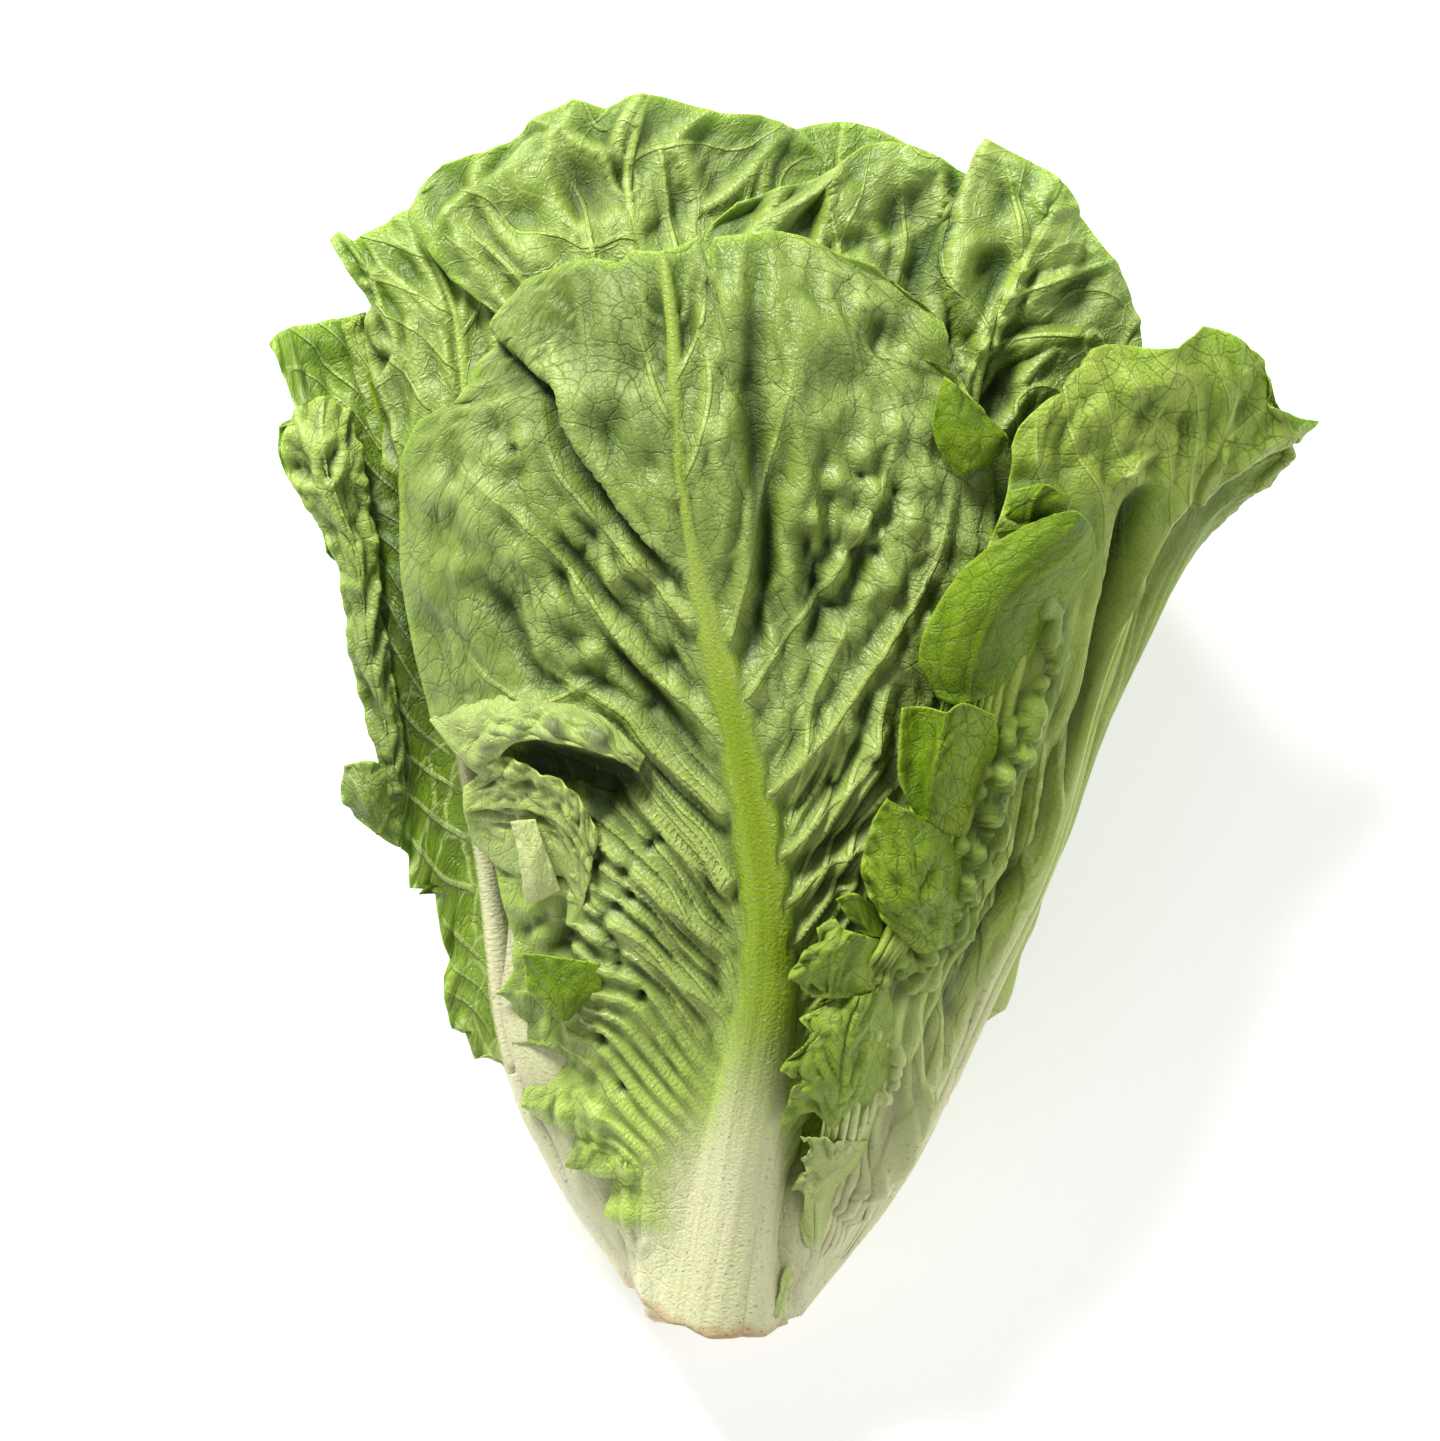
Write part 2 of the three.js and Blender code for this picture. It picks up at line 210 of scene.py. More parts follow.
def dimple_relief(leaf, s, t, size, stretch, seed):
    """Pockets of tissue between the small veins, longest along the side veins."""
    lean = leaf.get("lean", 1.1)
    slope = math.hypot(1, lean)
    along = (s - lean * np.abs(t)) / slope / size
    across = t * slope / (size * stretch)
    wobble = 0.3 * swell(s / (size * 0.9), t / (size * 0.9), seed + 3)
    inside, owner = pillows(along + wobble, across - wobble, seed + 5)
    return smooth(0, 0.62, inside), owner, np.exp(-(inside / 0.055) ** 2)


def soften(values, reach):
    """Values averaged with their neighbours, reach grid steps each way along both axes."""
    for axis in (0, 1):
        steps = reach[axis]
        pad = [(steps + 1, steps) if k == axis else (0, 0) for k in (0, 1)]
        total = np.cumsum(np.pad(values, pad, mode="edge"), axis=axis)
        count = 2 * steps + 1
        upper = np.take(total, range(count, total.shape[axis]), axis=axis)
        lower = np.take(total, range(0, total.shape[axis] - count), axis=axis)
        values = (upper - lower) / count
    return values


def bead_relief(x, y, path, gap, radius):
    """Blisters of uneven size in a row."""
    count = max(3, int(len(path) * 40))
    line = spline(np.array(path, float), np.linspace(0, 1, count))
    travelled = np.concatenate([[0], np.cumsum(np.hypot(*np.diff(line, axis=0).T))])
    stops = np.arange(0, travelled[-1], gap)
    relief = np.zeros(x.shape)
    lumpy = 1 + 0.5 * swell(x / (0.9 * radius), y / (0.9 * radius), 15)
    for k, stop in enumerate(stops):
        cx, cy = np.interp(stop, travelled, line[:, 0]), np.interp(stop, travelled, line[:, 1])
        size, offset, squash = (
            scatter(np.int64(k), np.int64(len(path)), seed) for seed in (3, 9, 21))
        size, offset, squash = radius * (0.6 + 0.7 * size), 3.2 * (offset - 0.5), 0.75 + 0.6 * squash
        d2 = lumpy * ((x - cx - offset) ** 2 + (squash * (y - cy)) ** 2) / size ** 2
        relief = np.maximum(relief, size * 1.1 * np.sqrt(np.clip(1 - d2, 0, 1)))
    return relief


def hand_relief(leaf, x, y):
    """Veins, folds, overlaps, lumps and blister rows placed one by one, with painted shade in pits and between
    blisters.
    """
    relief = np.zeros(x.shape)
    vein = np.zeros(x.shape)
    nearest = np.full(x.shape, 9.0)
    presence = np.zeros(x.shape)
    for path, width, rise in leaf.get("veins", ()):
        d, share, side = near_path(x, y, path)
        w = width * (1.05 - 0.5 * share)
        taper = 1 - smooth(0.5, 1.0, share)
        presence = np.where(d < np.abs(nearest), taper, presence)
        nearest = np.where(d < np.abs(nearest), d * side, nearest)
        crest = np.exp(-(d / (0.7 * w)) ** 2)
        shoulder = np.exp(-(d / (2.7 * w)) ** 2)
        crease = np.exp(-((d - 3.6 * w) / (1.5 * w)) ** 2)
        relief += rise * taper * (0.42 * crest + 0.6 * shoulder - 0.45 * crease)
        vein = np.maximum(vein, crest * taper * min(1.0, 0.35 + rise / 3))
    for path, width, rise in leaf.get("folds", ()):
        d, share, _ = near_path(x, y, path)
        ends = np.sin(np.pi * np.clip(share * 0.94 + 0.03, 0, 1)) ** 0.5
        relief += rise * ends * np.exp(-(d / width) ** 2)
    for path, lift, sink, reach in leaf.get("overlaps", ()):
        d, share, side = near_path(x, y, path)
        ends = np.sin(np.pi * np.clip(share * 0.9 + 0.05, 0, 1)) ** 0.5
        above = lift * (1 - smooth(0, 1.6 * reach, d)) * smooth(-0.9, 0.3, side * d)
        below = sink * np.exp(-(d / reach) ** 2) * (1 - smooth(-0.9, 0.3, side * d))
        relief += ends * (above + below)
    for cx, cy, radius, rise in leaf.get("lumps", ()):
        relief += rise * near(x, y, (cx, cy), radius)
    # Painted shade: pits, and the gaps between blisters, are darkened in colour.
    dark = np.zeros(x.shape)
    for cx, cy, radius in leaf.get("pits", ()):
        pit = near(x, y, (cx, cy), radius)
        relief -= 2.2 * pit
        dark = np.maximum(dark, 0.8 * smooth(0.25, 0.8, pit))
    blister = np.zeros(x.shape)
    for path, gap, radius in leaf.get("beads", ()):
        beads = bead_relief(x, y, path, gap, radius)
        relief += beads
        blister = np.maximum(blister, smooth(0.1, 0.5, beads / radius))
        beside, _, _ = near_path(x, y, path)
        between = np.exp(-(beside / (1.3 * radius)) ** 2) * (1 - smooth(0.2, 0.55, beads / radius))
        dark = np.maximum(dark, 0.75 * between)
    return relief, vein, nearest, presence, dark, blister


def placed(value, x, y):
    return value(x, y) if callable(value) else value + 0 * x


def build_plate(leaf):
    """One closed leaf plate: its vertices, quads and the masks that its material reads."""
    rows, cols = leaf["grid"]
    points = loft(leaf["net"], rows, cols)
    for axis, end, targets in leaf.get("margins", ()):
        pull_margin(points, axis, end, targets, leaf.get("margin_reach", 0.3))
    outward = leaf.get("outward", 1)
    seed = leaf["seed"]
    s, t, run = arc_lengths(points)
    x, y = points[..., 0], points[..., 1]
    u = np.broadcast_to(np.linspace(0, 1, rows + 1)[:, None], x.shape)
    v = np.broadcast_to(np.linspace(-1, 1, cols + 1)[None], x.shape)
    edge = np.abs(v)
    reach = np.abs(t)

    rib_half = table(leaf.get("rib", [0.01, 0.01]), rows)[:, None].clip(0.02)
    ribness = (1 - smooth(0.7, 1.25, reach / rib_half)) * ("rib" in leaf)
    softness = 0.5 + 1.3 * (1 - smooth(0.05, 0.3, u))
    dome = np.clip(1 - (t / (rib_half * 1.12)) ** 2, 0, 1) ** softness
    rib_bulge = leaf.get("rib_height", 0.4) * rib_half * dome * (0.3 + 0.7 * smooth(0.04, 0.34, u))
    away = smooth(0.9, 2.6, reach / rib_half)

    auto = placed(leaf.get("auto_veins", 1.0), x, y)
    crest, trough, phase, lateral_on = ridge_relief(leaf, s, t, edge, away, seed)
    relief = auto * (leaf.get("vein_height", 0.6) * crest - leaf.get("corrugation", 0.8) * trough)
    vein = 0.4 * crest * auto
    # Features placed one by one are drawn from above, so they fade where the leaf stands on edge.
    faces_up = smooth(0.12, 0.45, np.abs(normals_of(points)[..., 2]))
    # Painted shade: tissue darkened along the listed lines, where creases, cavities and faces turned from the key
    # light lie in shade.
    painted_shade = np.zeros(x.shape)
    for path, width, amount in leaf.get("painted_shades", ()):
        d, share, _ = near_path(x, y, path)
        ends = np.clip(2.4 * np.sin(np.pi * share), 0, 1)
        painted_shade = np.maximum(painted_shade, amount * ends * (1 - smooth(0.3 * width, width, d)))
    painted_shade = painted_shade * (0.3 + 0.7 * faces_up)

    calm = 1 - leaf.get("calm", 0.4) * smooth(0.86, 0.97, edge)
    puff = placed(leaf.get("puff", 1.0), x, y) * (1 - np.clip(painted_shade, 0, 1)) * calm
    line = np.zeros(x.shape)
    for k, (size, stretch, depth) in enumerate(leaf.get("dimples", ((9.0, 1.5, 1.2),))):
        floor, owner, border = dimple_relief(leaf, run, t, size, stretch, seed + 40 * k)
        relief = relief - puff * depth * (floor - 0.45) * (0.35 + owner) * away
        if k == 0:
            line = border * away

    for count, depth, where in leaf.get("pleats", ()):
        cell = v * count / 2 + 0.4 * swell(s / 24, v * 9, seed + 53)
        groove = 1 - np.abs(2 * (cell - np.floor(cell)) - 1)
        uneven = 0.6 + 0.5 * swell(s / 19, np.floor(cell), seed + 59)
        relief = relief - depth * placed(where, x, y) * uneven * (1 - smooth(0, 0.75, groove))

    by_hand, hand_vein, hand_distance, presence, dark, blister = hand_relief(leaf, x, y)
    beside_rib = 1 - (1 - smooth(0.75, 1.5, reach / rib_half)) * ("rib" in leaf)
    vein = np.maximum(vein, hand_vein * faces_up * beside_rib)
    relief = relief + by_hand * faces_up * beside_rib
    painted_shade = np.maximum(painted_shade, dark * faces_up)

    # Fine creases that run with the side veins.
    lean = leaf.get("lean", 1.1)
    crease_s, crease_t = (run - lean * reach) / 5.5, t / 9.0
    bent = 0.3 * swell(run / 9, t / 9, seed + 31)
    crease = 1 - np.abs(swell(crease_s + bent, crease_t, seed + 37))
    relief = relief - leaf.get("crinkle", 0.7) * crease ** 4 * away * (0.4 + 0.6 * puff)

    # Slow waves over the blade and ruffles that grow towards the margin.
    slow = placed(leaf.get("wave", 2.0), x, y)
    relief = relief + slow * away * swell(run / 34 + 3.1, t / 26, seed + 17)
    length = leaf.get("ruffle_run", 17.0)
    along_edge = run / length + 0.5 * swell(run / 31, np.sign(t) * 2.0 + 0 * t, seed + 19)
    frill = np.sin(2 * np.pi * (along_edge + 0.31 * (t > 0)))
    frill = frill + 0.5 * np.sin(2 * np.pi * (2.3 * along_edge + 0.17))
    grow = smooth(0.6, 1.0, edge) * smooth(0.08, 0.3, u)
    top_grow = smooth(0.86, 1.0, u) * (1 - smooth(0.5, 0.95, edge))
    top_frill = np.sin(2 * np.pi * (t / length + 0.2))
    top_frill = top_frill + 0.5 * np.sin(2 * np.pi * (t / length * 2.1 + 0.4))
    ruffle = placed(leaf.get("ruffle", 2.0), x, y) * 0.6 * (grow * frill + top_grow * top_frill)
    relief = relief * smooth(-0.001, 0.06, u) * (1 - 0.5 * smooth(0.93, 1.0, u))
    held = 1 - smooth(0.1, 0.9, v * leaf.get("held", 0))
    relief, ruffle = relief * held, ruffle * held
    # Painted shade and highlight: hollows in the relief get a darker colour where shade gathers, crests a paler
    # one, partly paler vein tissue and partly painted highlight.
    step = (s.max() / rows, np.ptp(t) / cols)
    reach_steps = [max(1, round(CAVITY_SHADING_REACH / k)) for k in step]
    cavity_shading = (soften(soften(relief, reach_steps), reach_steps) - relief) / CAVITY_SHADING_DEPTH

    n = normals_of(points) * outward
    points = points + n * relief[..., None]
    straight = n + np.array([0, 0, 1.0]) * np.sign(n[..., 2:3] + 0.2)
    straight /= np.linalg.norm(straight, axis=2, keepdims=True) + 1e-9
    points = points + straight * ruffle[..., None]
    # Long soft ridges down the broad base of the rib.
    base = 1 - smooth(0.1, 0.45, u)
    streak = np.cos(2 * np.pi * t / 3.1 + 2.2 * swell(s / 30, t / 7, seed))
    rib_bulge = rib_bulge + 0.07 * base * ribness * streak
    n = normals_of(points) * outward
    thick = BLADE * leaf.get("thick", 1.0) * (1 - 0.5 * smooth(0.92, 1.0, np.maximum(edge, u)))
    thinned = 1 - 0.92 * smooth(0.5, 0.85, edge) * smooth(0.015, 0.07, u)
    thick = thick + leaf.get("base_thick", 1.5) * (1 - smooth(0.0, 0.3, u)) * thinned
    front = points + n * (thick / 2 + rib_bulge)[..., None]
    back = points - n * (thick / 2 + leaf.get("rib_back", 0.0) * rib_bulge)[..., None]

    pale = placed(leaf.get("pale", 0.0), x, y)
    young = placed(leaf.get("young", 0.0), x, y)
    rib_pale = placed(leaf.get("rib_pale", leaf.get("pale", 0.0)), x, y)
    rim_from = leaf.get("rim_from", 0.965)
    rim = np.maximum(smooth(rim_from, 1.0, edge), smooth(0.98, 1.0, u)) * smooth(0.1, 0.3, u)
    masks = {
        "rib": ribness, "vein": np.clip(vein, 0, 1), "line": line,
        "pale": np.clip(pale + (rib_pale - pale) * ribness, 0, 1), "rim": rim,
        # Painted shade: darker the more the surface is sunk, and along the painted shade lines, pits and blister
        # gaps.
        "painted_shade_mask": np.clip(np.maximum(-relief / 7.0, painted_shade), 0, 1),
        "hollow_shade": np.clip(cavity_shading, 0, 1), "pale_crest_and_highlight": np.clip(-cavity_shading, 0, 1),
        # Deep saturated green: the real colour of translucent and inner tissue, and painted shade where laid over
        # shaded zones.
        "vivid": np.maximum(placed(leaf.get("vivid", 0.0), x, y), 0.8 * blister * faces_up),
        "young": young,
        "lateral": phase,
        "lateral_gap": leaf.get("vein_gap", 11.0) / math.hypot(1, lean) + 0 * x,
        "lateral_on": lateral_on * np.clip(auto, 0, 1),
        "hand_distance": np.clip(hand_distance, -9, 9),
        "hand_on": np.exp(-(hand_distance / 1.7) ** 2) * presence * faces_up * beside_rib,
        "net": placed(leaf.get("net_strength", 1.0), x, y) * (1 - ribness),
        "cut": leaf.get("cut", 0.0) * (1 - smooth(0.002, 0.017, u + 0.008 * swell(t / 2.2, s / 3, seed))),
    }
    return stitch(front, back, run, t, masks, outward, seed)


def lay_on(net, rows):
    """Points given as (x, y, lift), lifted off the upward side of a leaf surface."""
    ground = loft(net, 90, 60)
    facing = np.abs(normals_of(ground)[..., 2]) > 0.12
    ground = ground[facing]
    laid = []
    for row in rows:
        heights = []
        for x, y, lift in row:
            d = (ground[:, 0] - x) ** 2 + (ground[:, 1] - y) ** 2
            close = d < d.min() + 6.0
            heights.append((x, y, ground[close, 2].max() + lift))
        laid.append(heights)
    return laid


def stitch(front, back, s, t, masks, outward, seed):
    rows, cols = front.shape[:2]
    count = rows * cols
    verts = np.concatenate([front.reshape(-1, 3), back.reshape(-1, 3)])
    grid = np.arange(count).reshape(rows, cols)
    a, b = grid[:-1, :-1].ravel(), grid[:-1, 1:].ravel()
    c, d = grid[1:, 1:].ravel(), grid[1:, :-1].ravel()
    face = np.stack([a, b, c, d], axis=1)
    rim = np.concatenate([grid[0, :-1], grid[:-1, -1], grid[-1, :0:-1], grid[:0:-1, 0]])
    after = np.roll(rim, -1)
    wall = np.stack([rim, rim + count, after + count, after], axis=1)
    quads = np.concatenate([face, (face + count)[:, ::-1], wall])
    if outward < 0:
        quads = quads[:, ::-1]
    two = {name: np.concatenate([m.ravel(), m.ravel()]) for name, m in masks.items()}
    two["inside"] = np.concatenate([np.zeros(count), np.ones(count)])
    place = np.stack([s.ravel() * MM, t.ravel() * MM, np.full(count, seed * 0.037)], axis=1)
    two["place"] = np.concatenate([place, place])
    return verts, quads, two


def leaf_object(name, plates, skins):
    verts, quads, masks, start, skin_of = [], [], {}, 0, []
    for plate in plates:
        v, q, m = build_plate(plate)
        verts.append(v)
        quads.append(q + start)
        skin_of.append(np.full(len(q), plate.get("skin", 0), dtype=np.int32))
        for key, value in m.items():
            masks.setdefault(key, []).append(value)
        start += len(v)
    verts = (np.concatenate(verts) + SHIFT) * MM
    verts[:, 2] = np.maximum(verts[:, 2], 0.0002)
    quads = np.concatenate(quads)
    mesh = bpy.data.meshes.new(name)
    mesh.vertices.add(len(verts))
    mesh.vertices.foreach_set("co", verts.ravel().astype(np.float32))
    mesh.loops.add(quads.size)
    mesh.loops.foreach_set("vertex_index", quads.ravel().astype(np.int32))
    mesh.polygons.add(len(quads))
    mesh.polygons.foreach_set("loop_start", np.arange(0, quads.size, 4, dtype=np.int32))
    for skin in skins:
        mesh.materials.append(skin)
    mesh.polygons.foreach_set("material_index", np.concatenate(skin_of))
    mesh.update(calc_edges=True)
    mesh.validate()
    mesh.shade_smooth()
    for key, value in masks.items():
        value = np.concatenate(value)
        kind = "FLOAT_VECTOR" if value.ndim == 2 else "FLOAT"
        layer = mesh.attributes.new(key, kind, "POINT")
        layer.data.foreach_set("vector" if value.ndim == 2 else "value", value.ravel().astype(np.float32))
    piece = bpy.data.objects.new(name, mesh)
    bpy.context.scene.collection.objects.link(piece)
    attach(piece, "root")
    return piece


# ---------------------------------------------------------------- shader groups and materials

def new_group(name, inputs, outputs):
    group = bpy.data.node_groups.new(name, "ShaderNodeTree")
    for label, kind, value in inputs:
        socket = group.interface.new_socket(name=label, in_out="INPUT", socket_type=kind)
        if value is not None:
            socket.default_value = value
    for label, kind in outputs:
        group.interface.new_socket(name=label, in_out="OUTPUT", socket_type=kind)
    into = group.nodes.new("NodeGroupInput")
    out = group.nodes.new("NodeGroupOutput")
    return group, into, out


def add(tree, kind, **settings):
    node = tree.nodes.new(kind)
    for key, value in settings.items():
        setattr(node, key, value)
    return node


def maths(tree, operation, a, b=None, c=None, clamp=False):
    node = add(tree, "ShaderNodeMath", operation=operation, use_clamp=clamp)
    for socket, value in zip(node.inputs, (a, b, c)):
        if value is None:
            continue
        if isinstance(value, (int, float)):
            socket.default_value = value
        else:
            tree.links.new(value, socket)
    return node.outputs[0]


def ranged(tree, value, from_min, from_max, to_min=0.0, to_max=1.0):
    node = add(tree, "ShaderNodeMapRange", interpolation_type="SMOOTHSTEP")
    tree.links.new(value, node.inputs["Value"])
    for label, number in (("From Min", from_min), ("From Max", from_max),
                          ("To Min", to_min), ("To Max", to_max)):
        node.inputs[label].default_value = number
    return node.outputs["Result"]


def mixed(tree, factor, a, b, blend="MIX"):
    node = add(tree, "ShaderNodeMix", data_type="RGBA", blend_type=blend)
    if isinstance(factor, (int, float)):
        node.inputs["Factor"].default_value = factor
    else:
        tree.links.new(factor, node.inputs["Factor"])
    for label, value in (("A", a), ("B", b)):
        socket = [k for k in node.inputs if k.name == label and k.type == "RGBA"][0]
        if isinstance(value, tuple):
            socket.default_value = (*value, 1.0)
        else:
            tree.links.new(value, socket)
    return [k for k in node.outputs if k.type == "RGBA"][0]


def vein_net_group():
    """A net of fine veins in leaf coordinates, in two sizes."""
    group, into, out = new_group(
        "vein_net",
        [("Place", "NodeSocketVector", None), ("Mesh Size", "NodeSocketFloat", 4.0),
         ("Line Width", "NodeSocketFloat", 0.06)],
        [("Lines", "NodeSocketFloat"), ("Fine Lines", "NodeSocketFloat"),
         ("Pad", "NodeSocketFloat")],
    )
    link = group.links.new
    wander = add(group, "ShaderNodeTexNoise", noise_dimensions="3D")
    wander.inputs["Scale"].default_value = 160.0
    wander.inputs["Detail"].default_value = 3.0
    link(into.outputs["Place"], wander.inputs["Vector"])
    shift = add(group, "ShaderNodeVectorMath", operation="SCALE")
    shift.inputs["Scale"].default_value = 0.0035
    link(wander.outputs["Color"], shift.inputs[0])
    bent = add(group, "ShaderNodeVectorMath", operation="ADD")
    link(into.outputs["Place"], bent.inputs[0])
    link(shift.outputs[0], bent.inputs[1])
    per_metre = maths(group, "DIVIDE", 1000.0, into.outputs["Mesh Size"])
    results = []
    for times in (1.0, 2.9):
        cells = add(group, "ShaderNodeTexVoronoi", feature="DISTANCE_TO_EDGE")
        link(bent.outputs[0], cells.inputs["Vector"])
        link(maths(group, "MULTIPLY", per_metre, times), cells.inputs["Scale"])
        results.append(cells.outputs["Distance"])
    for label, distance, widen in (("Lines", results[0], 1.0), ("Fine Lines", results[1], 1.5)):
        width = maths(group, "MULTIPLY", into.outputs["Line Width"], widen)
        share = maths(group, "DIVIDE", distance, width)
        link(maths(group, "SUBTRACT", 1.0, share, clamp=True), out.inputs[label])
    link(ranged(group, results[0], 0.0, 0.32), out.inputs["Pad"])
    return group


def mottle_group():
    """Slow patches of lighter and darker tissue."""
    group, into, out = new_group(
        "mottle",
        [("Place", "NodeSocketVector", None), ("Patch Size", "NodeSocketFloat", 18.0)],
        [("Patches", "NodeSocketFloat"), ("Specks", "NodeSocketFloat")],
    )
    link = group.links.new
    scale = maths(group, "DIVIDE", 1000.0, into.outputs["Patch Size"])
    noise = add(group, "ShaderNodeTexNoise", noise_dimensions="3D")
    noise.inputs["Detail"].default_value = 5.0
    noise.inputs["Roughness"].default_value = 0.62
    link(into.outputs["Place"], noise.inputs["Vector"])
    link(scale, noise.inputs["Scale"])
    link(ranged(group, noise.outputs["Fac"], 0.3, 0.7), out.inputs["Patches"])
    dots = add(group, "ShaderNodeTexNoise", noise_dimensions="3D")
    dots.inputs["Detail"].default_value = 2.0
    link(into.outputs["Place"], dots.inputs["Vector"])
    link(maths(group, "MULTIPLY", scale, 22.0), dots.inputs["Scale"])
    link(ranged(group, dots.outputs["Fac"], 0.62, 0.75), out.inputs["Specks"])
    return group


def skin_group():
    """The fine waxy grain of leaf skin."""
    group, into, out = new_group(
        "leaf_skin",
        [("Place", "NodeSocketVector", None)],
        [("Grain", "NodeSocketFloat")],
    )
    link = group.links.new
    fine = add(group, "ShaderNodeTexNoise", noise_dimensions="3D")
    fine.inputs["Scale"].default_value = 1400.0
    fine.inputs["Detail"].default_value = 4.0
    link(into.outputs["Place"], fine.inputs["Vector"])
    link(fine.outputs["Fac"], out.inputs["Grain"])
    return group


def vein_lines_group():
    """Crisp side veins: evenly phased ones, and listed ones by their distance."""
    group, into, out = new_group(
        "vein_lines",
        [("Phase", "NodeSocketFloat", 0.0), ("Gap", "NodeSocketFloat", 6.0),
         ("Phase On", "NodeSocketFloat", 0.0), ("Distance", "NodeSocketFloat", 9.0),
         ("Distance On", "NodeSocketFloat", 0.0), ("Width", "NodeSocketFloat", 0.5)],
        [("Lines", "NodeSocketFloat")],
    )
    half = maths(group, "PINGPONG", into.outputs["Phase"], 0.5)
    from_vein = maths(group, "MULTIPLY", half, into.outputs["Gap"])
    share = maths(group, "DIVIDE", from_vein, into.outputs["Width"])
    phased = maths(group, "MULTIPLY", ranged(group, share, 0.4, 1.0, 1.0, 0.0),
                   into.outputs["Phase On"])
    by_hand = maths(group, "ABSOLUTE", into.outputs["Distance"])
    share = maths(group, "DIVIDE", by_hand, into.outputs["Width"])
    placed_lines = maths(group, "MULTIPLY", ranged(group, share, 0.5, 1.25, 1.0, 0.0),
                         into.outputs["Distance On"])
    lines = maths(group, "MAXIMUM", phased, placed_lines)
    group.links.new(lines, out.inputs["Lines"])
    return group


def fibre_group():
    """Faint streaks that run the length of a rib."""
    group, into, out = new_group(
        "rib_fibres",
        [("Place", "NodeSocketVector", None)],
        [("Streaks", "NodeSocketFloat")],
    )
    stretch = add(group, "ShaderNodeVectorMath", operation="MULTIPLY")
    stretch.inputs[1].default_value = (22.0, 520.0, 90.0)
    group.links.new(into.outputs["Place"], stretch.inputs[0])
    noise = add(group, "ShaderNodeTexNoise", noise_dimensions="3D")
    noise.inputs["Scale"].default_value = 1.0
    noise.inputs["Detail"].default_value = 4.0
    group.links.new(stretch.outputs[0], noise.inputs["Vector"])
    group.links.new(ranged(group, noise.outputs["Fac"], 0.3, 0.7), out.inputs["Streaks"])
    return group


VEIN_NET = vein_net_group()
VEIN_LINES = vein_lines_group()
FIBRES = fibre_group()
MOTTLE = mottle_group()
SKIN = skin_group()


def attribute(tree, name):
    return add(tree, "ShaderNodeAttribute", attribute_name=name)


